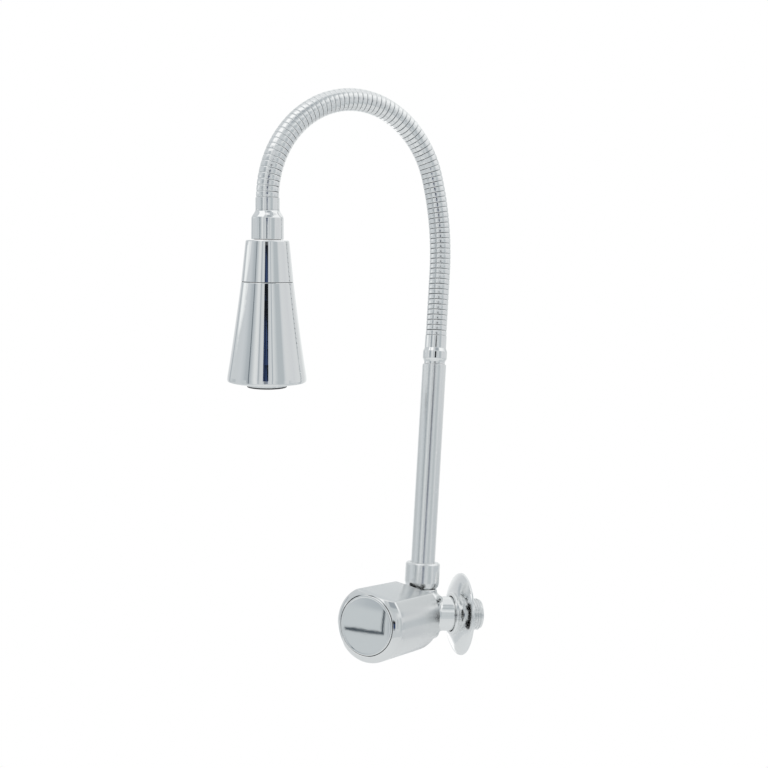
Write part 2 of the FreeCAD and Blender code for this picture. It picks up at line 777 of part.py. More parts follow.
def riser_pieces():
    """Swivelling riser tube, its seals and collar, the nut and the ferrule."""
    tube = size("riser_diameter") / 2
    bore = size("riser_bore") / 2
    heel = size("riser_heel_bore") / 2
    foot = size("riser_foot")
    heel_top = size("riser_heel_top")
    top = size("riser_top")
    section = size("oring_section")
    groove = tube - 1.3
    low_ring = size("lower_ring")
    high_ring = size("upper_ring")
    spigot_top = size("spigot_top")
    collar_low = spigot_top + 0.15
    collar_top = collar_low + size("collar_thickness")
    collar_groove = tube - 0.9
    edge = size("riser_edge")
    turned("riser_tube", riser, [
        (heel, foot), (tube, foot), (tube, low_ring), (groove, low_ring),
        (groove, low_ring + section), (tube, low_ring + section), (tube, high_ring),
        (groove, high_ring), (groove, high_ring + section), (tube, high_ring + section),
        (tube, collar_low), (collar_groove, collar_low), (collar_groove, collar_top),
        (tube, collar_top), (tube, top - edge), (tube - edge, top), (bore, top),
        (bore, heel_top), (heel, heel_top - 3.0)])
    seal_outer = tube + size("swivel_fit") - 0.03
    lower = ring("lower_riser_seal", riser, groove + 0.03, seal_outer, low_ring + 0.1,
                 low_ring + section - 0.1)
    upper = ring("upper_riser_seal", riser, groove + 0.03, seal_outer, high_ring + 0.1,
                 high_ring + section - 0.1)
    collar = ring("riser_collar", riser, collar_groove + 0.03, size("collar_diameter") / 2,
                  collar_low + 0.05, collar_top - 0.05)
    slit = size("collar_diameter")
    half = size("collar_slit") / 2
    cut_outline(collar, "collar_opening", collar_low - 0.5, size("collar_thickness") + 1.0,
                [[(0 - half, 0), (half, 0), (half, slit), (0 - half, slit)]])

    nut = size("nut_diameter") / 2
    nut_low = size("nut_bottom")
    nut_top = size("nut_top")
    roof = nut_top - size("nut_roof")
    thread = size("spigot_diameter") / 2 + 0.05
    cover = turned("spout_nut", riser, [
        (thread, nut_low), (nut - 1.6, nut_low), (nut, nut_low + 3.0), (nut, nut_top),
        (tube + 0.2, nut_top), (tube + 0.2, roof), (thread, roof)])
    soften(cover, "nut_shoulder_round", size("nut_shoulder"), [(nut, nut_top)])

    neck = size("ferrule_groove_diameter") / 2
    bulge = size("bulge_diameter") / 2
    bulge_low = top + size("ferrule_groove")
    bulge_top = bulge_low + size("bulge_length")
    sleeve = size("sleeve_diameter") / 2
    sleeve_top = bulge_top + size("sleeve_length")
    hose_bore = size("hose_bore") / 2
    plug_depth = size("ferrule_plug")
    turned("hose_ferrule", riser, [
        (hose_bore, top - plug_depth), (bore - 0.05, top - plug_depth), (bore - 0.05, top + 0.02),
        (neck, top + 0.02), (neck, bulge_low), (bulge - 0.9, bulge_low + 0.6),
        (bulge - 0.9, bulge_top - 0.6, size("bulge_length") * 1.05), (sleeve, bulge_top),
        (sleeve, sleeve_top), (hose_bore, sleeve_top)])
    return sleeve_top


class HosePath:
    """Centre line of the gooseneck: a straight run, then three tangent arcs in
    an upright plane.  From the lean joint on, the head's side of the arch is
    bent out of that plane, away from the knob."""

    def __init__(self, start_height):
        self.start = start_height
        self.runs = [(size("hose_straight").value, 0.0)]
        for name in ("rise", "crown", "fall"):
            radius = size(name + "_radius").value
            turn = math.radians(size(name + "_turn").value)
            self.runs.append((radius * turn, radius))
        self.length = sum(run for run, radius in self.runs)
        self.lean_from = self.length * count("lean_joint") / count("link_count")
        self.pivot, along = self.upright(self.lean_from)
        self.lean = FreeCAD.Rotation(along, -size("head_lean").value)

    def at(self, distance):
        """Point on the centre line, the unit tangent and the bend axis there."""
        point, tangent = self.upright(distance)
        if distance <= self.lean_from:
            return point, tangent, BEND_AXIS
        turn = self.lean.multVec
        return self.pivot + turn(point - self.pivot), turn(tangent), turn(BEND_AXIS)

    def upright(self, distance):
        """Point and unit tangent before the lean."""
        forward = 0.0
        height = self.start
        angle = 0.0
        left = distance
        for run, radius in self.runs:
            step = min(left, run)
            if radius == 0.0:
                height += step
            else:
                turned_by = step / radius
                forward += radius * (math.cos(angle) - math.cos(angle + turned_by))
                height += radius * (math.sin(angle + turned_by) - math.sin(angle))
                angle += turned_by
            left -= step
        base = riser.placement().Base
        point = base + AHEAD * forward + UP * height
        tangent = AHEAD * math.sin(angle) + UP * math.cos(angle)
        return point, tangent


def round_wire(path, distance, radius, sides):
    """Closed ring of straight sides round the centre line, square to it."""
    point, tangent, beside = path.at(distance)
    above = tangent.cross(beside)
    corners = []
    for number in range(sides + 1):
        angle = 2 * math.pi * (number % sides) / sides
        corners.append(point + beside * (radius * math.cos(angle))
                       + above * (radius * math.sin(angle)))
    return Part.makePolygon(corners)


def hose_links(path):
    """The banded metal hose, cut into rigid links with a bending gap between
    them.  Each band rises quickly from its groove and tapers to the next."""
    links = count("link_count")
    bands = count("bands_per_link")
    sides = count("ring_sides")
    crest = size("hose_diameter").value / 2
    groove = crest - size("band_depth").value
    bore = size("hose_bore").value / 2
    gap = size("link_gap").value
    span = path.length / links
    for number in range(links):
        low = number * span + (gap / 2 if number else 0.0)
        high = (number + 1) * span - (gap / 2 if number < links - 1 else 0.0)
        pitch = (high - low) / bands
        rings = []
        for band in range(bands):
            start = low + band * pitch
            rings.append(round_wire(path, start, groove, sides))
            rings.append(round_wire(path, start + 0.22 * pitch, crest, sides))
        rings.append(round_wire(path, high, groove, sides))
        outside = Part.makeLoft(rings, True, True)
        core = []
        for step in range(5):
            core.append(round_wire(path, low - 0.01 + (high - low + 0.02) * step / 4,
                                   bore, sides))
        inside = Part.makeLoft(core, True, True)
        link = document.addObject("Part::Feature", "hose_link_%02d" % (number + 1))
        link.Label = "hose_link_%02d" % (number + 1)
        link.Shape = outside.cut(inside)


def head_pieces(path):
    """Cone spray head: ferrule, collar nut, two shells, core and jets."""
    end, tangent, beside = path.at(path.length)
    head = Frame((end.x, end.y, end.z), FreeCAD.Rotation(UP, tangent))
    hose_bore = size("hose_bore") / 2
    ferrule = size("head_ferrule_diameter") / 2
    ferrule_end = size("head_ferrule_length")
    stub = size("stub_diameter") / 2
    stub_end = ferrule_end + size("stub_length")
    flange = size("stub_flange") / 2
    flange_end = stub_end + size("stub_flange_height")
    turned("head_ferrule", head, [
        (hose_bore, 0), (ferrule, 0), (ferrule, ferrule_end), (stub, ferrule_end),
        (stub, stub_end), (flange, stub_end), (flange, flange_end), (hose_bore, flange_end)])
    washer_end = flange_end + size("washer_thickness")
    ring("head_washer", head, hose_bore + 0.3, flange, flange_end, washer_end)
    collar = size("head_collar_diameter") / 2
    collar_end = size("head_collar_end")
    nipple = size("nipple_diameter") / 2
    shoulder = size("head_collar_shoulder")
    turned("head_collar", head, [
        (stub + 0.05, ferrule_end + 0.05), (ferrule + 0.35, ferrule_end + 0.05),
        (collar, ferrule_end + shoulder, shoulder * 1.15), (collar, collar_end),
        (nipple + 0.05, collar_end), (nipple + 0.05, stub_end - 0.05),
        (stub + 0.05, stub_end - 0.05)])

    top = size("upper_shell_top")
    upper = size("upper_shell_diameter") / 2
    seam = size("seam_height")
    seam_radius = size("seam_diameter") / 2
    skin = size("shell_wall")
    roof = top + size("shell_roof")
    way = size("waterway_bore") / 2
    core_bore = size("core_tube_bore") / 2
    tail = seam - size("shell_tail")
    edge = size("upper_shell_edge")
    turned("head_upper_shell", head, [
        (way, washer_end), (nipple, washer_end), (nipple, top), (upper - edge, top),
        (upper, top + edge),
        (seam_radius, seam), (seam_radius - skin, seam), (upper - skin, roof),
        (core_bore - 0.05, roof), (core_bore - 0.05, tail), (way, tail)])

    tube = size("core_tube_diameter") / 2
    rim = size("lower_shell_diameter") / 2
    end_height = size("lower_shell_end")
    plate_end = end_height - size("spray_plate_inset")
    plate_start = plate_end - size("spray_plate_thickness")
    jet = rim - skin - size("jet_disc_inset")
    jet_top = plate_start - size("jet_chamber")
    jet_low = jet_top - size("jet_disc_thickness")
    plate = jet - size("core_plate_inset")
    plate_top = jet_low - size("jet_gap")
    plate_low = plate_top - size("core_plate_thickness")
    groove = tube - size("core_seal_groove")
    seal_low = seam + size("core_seal_rise")
    seal_top = seal_low + size("core_seal_section")
    lower_top = seam + size("seam_gap")
    bearing_low = lower_top + size("bearing_height")
    turned("head_core", head, [
        (core_bore, roof + 1.5), (tube, roof + 1.5), (tube, seal_low), (groove, seal_low),
        (groove, seal_top), (tube, seal_top), (tube, plate_low - size("core_plate_foot")),
        (plate, plate_low), (plate, plate_top), (core_bore, plate_top)])
    bearing = tube + size("bearing_fit")
    ring("core_seal", head, groove + 0.03, bearing - 0.05, seal_low + 0.05, seal_top - 0.05)
    ring("shell_clip", head, tube + 0.03, tube + size("shell_clip_width"),
         bearing_low + 0.2, bearing_low + 1.4)

    band = size("lower_shell_band")
    edge = size("lower_shell_edge")
    turned("head_lower_shell", head, [
        (bearing, lower_top), (seam_radius, lower_top), (rim, band), (rim, end_height - edge),
        (rim - edge, end_height), (rim - skin, end_height),
        (rim - skin, plate_start - size("spray_plate_play")),
        (seam_radius - skin, bearing_low), (bearing, bearing_low)])

    ring("jet_disc", head, way, jet, jet_low, jet_top)
    nozzle = size("nozzle_diameter") / 2
    spray = turned("spray_plate", head, [
        (nozzle + 0.05, plate_start), (rim - skin - 0.05, plate_start),
        (rim - skin - 0.05, plate_end), (nozzle + 0.05, plate_end)])
    drill(spray, "spray_hole", size("spray_pitch") / 2, 0, size("spray_hole") / 2,
          plate_start - 0.5, size("spray_plate_thickness") + 1.0, count("spray_holes"))
    nozzle_end = end_height + size("nozzle_rise")
    nozzle_bore = size("nozzle_bore") / 2
    edge = size("nozzle_edge")
    turned("nozzle_ring", head, [
        (nozzle_bore, jet_top), (nozzle, jet_top), (nozzle, nozzle_end - edge),
        (nozzle - edge, nozzle_end), (nozzle_bore, nozzle_end)])
    mesh_end = nozzle_end - size("aerator_inset")
    mesh_low = mesh_end - size("aerator_thickness")
    mesh = ring("aerator_insert", head, 0, nozzle_bore - 0.05, mesh_low, mesh_end)
    drill(mesh, "aerator_hole", size("aerator_pitch") / 2, 0, size("aerator_hole") / 2,
          mesh_low - 0.5, size("aerator_thickness") + 1.0, count("aerator_holes"))


wall_pieces()
valve_body()
stem_end = cartridge_pieces()
knob_pieces(stem_end)
hose_start = riser_pieces()
gooseneck = HosePath(hose_start.value)
hose_links(gooseneck)
head_pieces(gooseneck)
document.recompute()

NODES = [
    "wall_flange", "flange_grip_ring", "inlet_strainer", "valve_body", "seat_seal",
    "fixed_disc", "moving_disc", "cartridge_housing", "housing_gasket", "spindle",
    "spindle_seal", "retaining_clip", "knob_shell", "knob_insert", "knob_screw", "knob_cap",
    "riser_tube", "lower_riser_seal", "upper_riser_seal", "riser_collar", "spout_nut",
    "hose_ferrule", "head_ferrule", "head_washer", "head_collar", "head_upper_shell",
    "head_core", "core_seal", "shell_clip", "head_lower_shell", "jet_disc", "spray_plate",
    "nozzle_ring", "aerator_insert",
]
NODES += ["hose_link_%02d" % (number + 1) for number in range(count("link_count"))]

for item in document.Objects:
    states = [state for state in item.State if state in ("Invalid", "Error")]
    if states:
        raise RuntimeError("%s is %s" % (item.Name, ", ".join(states)))

os.makedirs("parts", exist_ok=True)
for node in NODES:
    piece = document.getObjectsByLabel(node)[0]
    shape = piece.Shape
    if shape.isNull() or not shape.isValid() or shape.Volume <= 0:
        raise RuntimeError(node + " has no valid solid")
    if len(shape.Solids) != 1:
        raise RuntimeError("%s has %d solids" % (node, len(shape.Solids)))
    shape.exportStep("parts/%s.step" % node)

for number in range(count("link_count") - 1):
    pivot, direction, axis = gooseneck.at(
        (number + 1) * gooseneck.length / count("link_count"))
    print("bend %02d pivot %.4f %.4f %.4f axis %.6f %.6f %.6f"
          % (number + 1, pivot.x, pivot.y, pivot.z, axis.x, axis.y, axis.z))
end, direction, axis = gooseneck.at(gooseneck.length)
print("hose end %.4f %.4f %.4f direction %.5f %.5f %.5f length %.2f"
      % (end.x, end.y, end.z, direction.x, direction.y, direction.z, gooseneck.length))
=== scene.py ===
import json
import math

import bmesh
import bpy
import numpy as np
from mathutils import Matrix, Vector


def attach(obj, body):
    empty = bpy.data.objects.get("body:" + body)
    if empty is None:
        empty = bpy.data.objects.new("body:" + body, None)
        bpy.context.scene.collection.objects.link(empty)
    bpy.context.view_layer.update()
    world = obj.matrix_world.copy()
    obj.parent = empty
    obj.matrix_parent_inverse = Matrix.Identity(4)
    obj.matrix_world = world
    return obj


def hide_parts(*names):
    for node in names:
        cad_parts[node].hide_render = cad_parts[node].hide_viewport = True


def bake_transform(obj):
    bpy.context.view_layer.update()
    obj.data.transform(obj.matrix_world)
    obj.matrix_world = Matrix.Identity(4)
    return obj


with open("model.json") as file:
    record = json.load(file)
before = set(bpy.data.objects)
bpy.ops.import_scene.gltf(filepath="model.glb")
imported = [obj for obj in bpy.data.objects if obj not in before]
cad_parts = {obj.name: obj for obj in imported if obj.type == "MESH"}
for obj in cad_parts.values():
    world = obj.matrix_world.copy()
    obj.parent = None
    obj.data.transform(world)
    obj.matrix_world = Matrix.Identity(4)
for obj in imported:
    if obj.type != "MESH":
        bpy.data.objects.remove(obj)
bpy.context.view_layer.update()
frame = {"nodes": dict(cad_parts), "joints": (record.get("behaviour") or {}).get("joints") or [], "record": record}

# Looks of a wall-mounted kitchen faucet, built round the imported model.
# Shapes are written in millimetres along each part's own axis, as on a
# drawing; every mesh ends up in metres in the model's own frame.

MM = 0.001
joints = {joint["name"]: joint for joint in frame["joints"]}

# Places and directions that come with the model
UP = Vector((0, 0, 1))
TO_ROOM = Vector((0, -1, 0))
SWIVEL = Vector(joints["spout_swivel"]["pos_m"])
KNOB_AXIS = Vector(joints["knob_turn"]["axis"]).normalized()
KNOB_MIDDLE = Vector(joints["knob_turn"]["pos_m"])
BEND_AXIS = Vector(joints["lower_bend_1"]["axis"]).normalized()
AHEAD = BEND_AXIS.cross(UP)
HEAD_TOP = Vector(joints["jet_twist"]["pos_m"])
HEAD_AXIS = Vector(joints["jet_twist"]["axis"]).normalized()
FLAT_TILT = math.radians(9.5)
FLAT_NORMAL = UP * math.cos(FLAT_TILT) + UP.cross(KNOB_AXIS) * math.sin(FLAT_TILT)

# Camera fitted to the photograph: place, direction and lens
CAMERA_PLACE = (0.64437, -0.23115, 0.11709)
CAMERA_AZIMUTH = math.radians(75.4)
CAMERA_PITCH = math.radians(2.916)
CAMERA_ROLL = math.radians(3.432)
CAMERA_LENS = 46.875


def axis_frame(origin, along, upward):
    """Frame whose Z runs along a part's axis and whose Y leans to upward."""
    z = along.normalized()
    x = upward.cross(z).normalized()
    y = z.cross(x)
    return Matrix((
        (x.x, y.x, z.x, origin.x), (x.y, y.y, z.y, origin.y), (x.z, y.z, z.z, origin.z),
        (0, 0, 0, 1)))


WALL = axis_frame(Vector((0, 0, 0)), TO_ROOM, UP)
RISER = axis_frame(SWIVEL, UP, TO_ROOM)
KNOB = axis_frame(KNOB_MIDDLE, KNOB_AXIS, FLAT_NORMAL)
HEAD = axis_frame(HEAD_TOP, HEAD_AXIS, AHEAD)


def linear(code):
    """An sRGB hex colour as linear RGBA."""
    parts = [int(code[i:i + 2], 16) / 255 for i in (1, 3, 5)]
    return [c / 12.92 if c <= 0.04045 else ((c + 0.055) / 1.055) ** 2.4 for c in parts] + [1.0]


# Outlines

# Widest step round a corner's arc and the fewest steps that an arc gets
ARC_STEP = math.radians(10)
ARC_STEPS = 4
# Share of a side that one rounding may take up
CORNER_SHARE = 0.49
# Distance of a support point from its corner, in millimetres
SUPPORT = 0.12


def rounded(corners, closed=True):
    """Outline of (radius, height) or (radius, height, rounding) corners, with
    an arc at each rounded corner and a support point beside every corner."""
    points = []
    last = len(corners) - 1
    for number, corner in enumerate(corners):
        here = np.array(corner[:2], float)
        if len(corner) < 3 or (not closed and number in (0, last)):
            points.append(here)
            continue
        back = np.array(corners[number - 1][:2], float) - here
        on = np.array(corners[(number + 1) % len(corners)][:2], float) - here
        back_length, on_length = np.linalg.norm(back), np.linalg.norm(on)
        back, on = back / back_length, on / on_length
        half = math.acos(np.clip(back @ on, -1, 1)) / 2
        cut = min(corner[2] / math.tan(half), CORNER_SHARE * min(back_length, on_length))
        radius = cut * math.tan(half)
        bisector = (back + on) / np.linalg.norm(back + on)
        centre = here + bisector * radius / math.sin(half)
        first, second = here + back * cut - centre, here + on * cut - centre
        sweep = math.pi - 2 * half
        steps = max(ARC_STEPS, math.ceil(sweep / ARC_STEP))
        for step in range(steps + 1):
            w = step / steps
            arc = math.sin((1 - w) * sweep) * first + math.sin(w * sweep) * second
            points.append(centre + arc / math.sin(sweep))
    outline = []
    for number, point in enumerate(points):
        outline.append(point)
        if number == len(points) - 1 and not closed:
            break
        following = points[(number + 1) % len(points)]
        length = np.linalg.norm(following - point)
        if length > 4 * SUPPORT:
            outline.append(point + (following - point) * SUPPORT / length)
            outline.append(following + (point - following) * SUPPORT / length)
    return outline


def ease(x):
    """Smooth rise from 0 to 1."""
    x = min(max(x, 0.0), 1.0)
    return x * x * (3 - 2 * x)


def circle(radius, height, sides):
    """Ring of points at one height."""
    turns = [2 * math.pi * side / sides for side in range(sides)]
    return [(radius * math.cos(t), radius * math.sin(t), height) for t in turns]


# Meshes

# Sides of a turned part, and of the large ones whose rim is seen close
SIDES = 128
FINE_SIDES = 160
# Edges sharper than this many degrees stay sharp
SHARP = 32
# Points nearer than this are one point, in millimetres
SAME_POINT = 1e-5


def add_object(name, data):
    made = bpy.data.objects.new(name, data)
    bpy.context.scene.collection.objects.link(made)
    return made


def face_outward(mesh, join=False):
    """Turn a mesh's faces outward, if asked after joining points that meet."""
    work = bmesh.new()
    work.from_mesh(mesh)
    if join:
        bmesh.ops.remove_doubles(work, verts=work.verts, dist=SAME_POINT)
    bmesh.ops.recalc_face_normals(work, faces=work.faces)
    work.to_mesh(mesh)
    work.free()


def solid(name, place, rings, closed=True, sharp=SHARP):
    """Skin over rings of points given in millimetres in a part's frame.  A
    ring of one point is a pole."""
    vertices, starts, faces = [], [], []
    for ring in rings:
        starts.append(len(vertices))
        vertices.extend(ring)
    pairs = len(rings) if closed else len(rings) - 1
    for number in range(pairs):
        other = (number + 1) % len(rings)
        here, there = len(rings[number]), len(rings[other])
        sides = max(here, there)
        for side in range(sides):
            following = (side + 1) % sides
            corners = [
                starts[number] + side % here, starts[number] + following % here,
                starts[other] + following % there, starts[other] + side % there]
            faces.append(list(dict.fromkeys(corners)))
    mesh = bpy.data.meshes.new(name)
    mesh.from_pydata([tuple(v) for v in vertices], [], [f for f in faces if len(f) > 2])
    return dress_mesh(name, mesh, place, sharp)


def dress_mesh(name, mesh, place, sharp):
    """Smooth, outward-facing object from a mesh in millimetres, which keeps
    its own coordinates as the attribute part_place."""
    face_outward(mesh, join=True)
    local = np.zeros(len(mesh.vertices) * 3, np.float32)
    mesh.vertices.foreach_get("co", local)
    mesh.attributes.new("part_place", "FLOAT_VECTOR", "POINT").data.foreach_set("vector", local)
    mesh.transform(place @ Matrix.Scale(MM, 4))
    mesh.shade_smooth()
    mesh.set_sharp_from_angle(angle=math.radians(sharp))
    return add_object(name, mesh)


def lathe(name, place, outline, closed=True, sides=SIDES):
    """Turned part from an outline of (radius, height) points.  A point on
    the axis is a pole."""
    rings = [[(0, 0, height)] if radius < SAME_POINT else circle(radius, height, sides)
             for radius, height in outline]
    return solid(name, place, rings, closed)


def settle(piece, finish, body, *nodes, look=None):
    """Give a piece its finish, its body and the model's nodes it stands for.
    A look of its own takes the place of the slot's usual one."""
    piece.data.materials.clear()
    piece.data.materials.append(look or FINISHES[finish])
    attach(piece, body)
    if nodes:
        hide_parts(*nodes)


# Materials

def add_node(tree, kind, values=None, **settings):
    """A node with its settings, its values and the links into it."""
    made = tree.nodes.new(kind)
    for key, value in settings.items():
        setattr(made, key, value)
    for key, value in (values or {}).items():
        if isinstance(value, bpy.types.NodeSocket):
            tree.links.new(value, made.inputs[key])
        else:
            made.inputs[key].default_value = value
    return made


def new_finish(name):
    finish = bpy.data.materials.new(name)
    finish.use_nodes = True
    tree = finish.node_tree
    tree.nodes.clear()
    return finish, tree


def close_finish(tree, values):
    shader = add_node(tree, "ShaderNodeBsdfPrincipled", values)
    add_node(tree, "ShaderNodeOutputMaterial", {"Surface": shader.outputs["BSDF"]})


def blend_colours(tree, share, under, over):
    """From the colour under to the colour over, by share."""
    return add_node(tree, "ShaderNodeMix", {"Factor": share, 6: under, 7: over},
                    data_type="RGBA").outputs[2]


def noise(tree, place, scale=1.0, detail=2.0, roughness=0.5):
    return add_node(tree, "ShaderNodeTexNoise", {
        "Vector": place, "Scale": scale, "Detail": detail,
        "Roughness": roughness}).outputs["Fac"]


def smooth_range(tree, value, low, high, start=0.0, end=1.0):
    """Start below low, end above high, with a smooth way between."""
    return add_node(tree, "ShaderNodeMapRange", {
        "Value": value, "From Min": low, "From Max": high, "To Min": start, "To Max": end},
        interpolation_type="SMOOTHSTEP").outputs["Result"]


def relief(tree, height, depth, normal=None):
    """Surface direction over a relief that is depth millimetres deep."""
    values = {"Strength": 1.0, "Distance": depth * MM, "Height": height}
    if normal is not None:
        values["Normal"] = normal
    return add_node(tree, "ShaderNodeBump", values).outputs["Normal"]


def stretched(tree, place, size, along):
    """Pattern coordinates: one unit is size mm across and along mm on the axis."""
    mapping = add_node(tree, "ShaderNodeMapping", {
        "Vector": place, "Scale": (1 / size, 1 / size, 1 / along)})
    return mapping.outputs["Vector"]


# Water film on the chrome: its size across and along, in millimetres, where
# it starts and is full, and how much duller it makes the plate
FILM_SIZE = (9.0, 14.0)
FILM_RANGE = (0.56, 0.74)
FILM_DULLNESS = 0.05
# Roughness of the buffed front of a part, and over what height it is reached
BUFFED_ROUGHNESS = 0.07
BUFFED_OVER = 3.0
# Where the painted shade in the hose's gaps changes from dark inside the bend to pale outside it
GAP_SHADE_SIDE = (-4.0, 6.0)


def chrome_plate(name, colour, roughness, ripple_size, ripple_depth, line_width, line_depth,
                 groove=False, buffed_from=None):
    """Polished chrome plate.  Ripple is the slight unevenness of the metal
    under the plate, lines are what the polishing wheel or the drawing die
    left, and the film is dried water that makes small areas a little duller.
    With groove, the gaps of the banded hose get painted shade, dark inside the bend and pale outside it.  From the
    height buffed_from on, the part is smoother."""
    finish, tree = new_finish(name)
    place = add_node(tree, "ShaderNodeAttribute", attribute_name="part_place").outputs["Vector"]
    ripple = noise(tree, stretched(tree, place, ripple_size, ripple_size * 1.6),
                   detail=1.5, roughness=0.45)
    lines = noise(tree, stretched(tree, place, line_width, line_width * 60),
                  detail=3.0, roughness=0.6)
    film = noise(tree, stretched(tree, place, *FILM_SIZE), detail=4.0, roughness=0.65)
    film_spots = smooth_range(tree, film, *FILM_RANGE)
    dullness = add_node(tree, "ShaderNodeMapRange", {
        "Value": lines, "From Min": 0.3, "From Max": 0.7, "To Min": roughness * 0.94,
        "To Max": roughness * 1.07}).outputs["Result"]
    dullness = add_node(tree, "ShaderNodeMath", {0: film_spots, 1: FILM_DULLNESS, 2: dullness},
                        operation="MULTIPLY_ADD").outputs["Value"]
    if buffed_from is not None:
        # only the front was held against the buffing wheel
        front = add_node(tree, "ShaderNodeSeparateXYZ", {"Vector": place}).outputs["Z"]
        dullness = smooth_range(tree, front, buffed_from, buffed_from + BUFFED_OVER,
                                dullness, BUFFED_ROUGHNESS)
    bright = linear(colour)
    cool = [c * f for c, f in zip(bright, (0.97, 0.975, 0.98))] + [1.0]
    shade = blend_colours(tree, film, cool, bright)
    if groove:
        # painted shade in the gaps between the bands: dark inside the bend, fading to pale outside it
        depth = add_node(tree, "ShaderNodeAttribute", attribute_name="groove").outputs["Fac"]
        side = add_node(tree, "ShaderNodeSeparateXYZ", {"Vector": place}).outputs["Y"]
        outside = smooth_range(tree, side, *GAP_SHADE_SIDE)
        painted_gap_shade = blend_colours(tree, outside, linear("#33383D"), linear("#D6D9DA"))
        shade = blend_colours(tree, depth, shade, painted_gap_shade)
    uneven = relief(tree, ripple, ripple_depth)
    close_finish(tree, {
        "Base Color": shade, "Metallic": 1.0, "Roughness": dullness,
        "Normal": relief(tree, lines, line_depth, uneven)})
    return finish


def moulded(name, dark, light, roughness, grain_size, grain_depth, metallic=0.0, ior=1.5):
    """Plain material with a fine grain: moulded, cast, lapped or turned."""
    finish, tree = new_finish(name)
    place = add_node(tree, "ShaderNodeTexCoord").outputs["Object"]
    grain = noise(tree, stretched(tree, place, grain_size * MM, grain_size * MM),
                  detail=3.0, roughness=0.55)
    cloud = noise(tree, stretched(tree, place, 6 * MM, 6 * MM))
    dull = add_node(tree, "ShaderNodeMapRange", {
        "Value": grain, "To Min": roughness * 0.85, "To Max": roughness * 1.15})
    values = {"Base Color": blend_colours(tree, cloud, linear(dark), linear(light)),
              "Metallic": metallic, "Roughness": dull.outputs["Result"],
              "Normal": relief(tree, grain, grain_depth)}
    if not metallic:
        values["IOR"] = ior
    close_finish(tree, values)
    return finish


FINISHES = {
    # Spun sheet, polished before plating: long soft waves, hardly any lines
    "chromed_steel": chrome_plate(
        "chromed_sheet_steel", "#EDEEEE", 0.14, 7.0, 0.010, 0.5, 0.0004),
    # Cast brass, hand polished: uneven, so reflections wander most here
    "chromed_brass": chrome_plate(
        "chromed_cast_brass", "#EDEEEE", 0.07, 4.0, 0.022, 0.6, 0.0004),
    # Drawn tube: straight fine lines along the axis that soften what it shows
    "chromed_tube": chrome_plate(
        "chromed_drawn_tube", "#EDEEEE", 0.23, 9.0, 0.006, 0.35, 0.0006),
    # Rolled strip: duller, with painted shade down in the gaps between the bands
    "chromed_steel_strip": chrome_plate(
        "chromed_rolled_strip", "#EEEFEF", 0.17, 2.2, 0.008, 0.3, 0.0015, groove=True),
    # Zinc casting under the knob's plate, a little satin from the barrel polish
    "chromed_knob": chrome_plate(
        "chromed_zinc_casting", "#E9EAEA", 0.22, 9.0, 0.004, 4.0, 0.00001, buffed_from=61.0),
    # Plated plastic: the smoothest of all
    "chromed_shell": chrome_plate(
        "chromed_plastic", "#EEEFEF", 0.035, 14.0, 0.006, 0.8, 0.0004),
    # Nitrile rubber: dull black, faint mould grain
    "black_rubber": moulded("nitrile_rubber", "#17181A", "#232427", 0.6, 0.25, 0.01),
    # Stainless wire and sheet, tumbled bright
    "stainless_steel": moulded(
        "tumbled_stainless_steel", "#B4B6B7", "#CBCDCE", 0.28, 0.2, 0.003, metallic=1.0),
    # Alumina discs, lapped: white, glassy
    "white_ceramic": moulded(
        "lapped_alumina", "#EDEBE4", "#F5F4EF", 0.12, 0.1, 0.0005, ior=1.76),
    # Turned brass, left bare
    "bare_brass": moulded(
        "turned_brass", "#B98F43", "#D0AA5C", 0.24, 0.3, 0.004, metallic=1.0),
    # Natural nylon: off-white, waxy
    "white_nylon": moulded("natural_nylon", "#DEDCD4", "#ECEAE3", 0.42, 0.4, 0.006, ior=1.53),
    # Glass-filled plastic of the spray face: charcoal, satin grain
    "dark_plastic": moulded(
        "charcoal_acetal", "#24272B", "#32363B", 0.38, 0.35, 0.01, ior=1.48),
}

# The knob's pressed cap is sheet brass and takes a brighter polish than the knob
CAP_FINISH = chrome_plate("chromed_pressed_cap", "#EDEEEE", 0.045, 6.0, 0.012, 0.6, 0.0002)
# The foot nut is turned from bar and buffed by hand, so it is softer and wavier
NUT_FINISH = chrome_plate("chromed_turned_brass", "#EDEEEE", 0.2, 3.2, 0.03, 0.6, 0.0004)


# Wall flange and valve body

def build_flange():
    """Domed sheet with a rolled rim and a raised collar ring."""
    edge, inward, foot, rise, steps = 26.4, 12.2, 1.9, 4.4, 14
    dome = []
    for step in range(steps + 1):
        share = step / steps
        dome.append((edge - inward * share,
                     foot + rise * math.sin(share * math.pi / 2) ** 0.9))
    outline = rounded([
        (25.6, 0.05), (26.95, 0.05, 0.3), (26.95, 1.3, 0.9), *dome, (14.05, 6.4),
        (13.95, 7.9, 0.6), (11.75, 7.9, 0.5), (11.75, 4.6), (25.6, 0.5)])
    settle(lathe("flange_dome", WALL, outline, sides=FINE_SIDES), "chromed_steel", "wall_body",
           "wall_flange")


def capped(points, axis, radius, low, high, edge):
    """Distance from points to a rounded-edge cylinder along an axis."""
    axis = np.array(axis, float)
    height = points @ axis
    out = np.linalg.norm(points - np.outer(height, axis), axis=1)
    q = np.stack([out - radius + edge, np.abs(height - (low + high) / 2)
                  - (high - low) / 2 + edge], 1)
    return np.linalg.norm(np.maximum(q, 0), axis=1) + np.minimum(q.max(1), 0) - edge


KNOB_LIFT = np.array((KNOB_MIDDLE - SWIVEL) / MM)


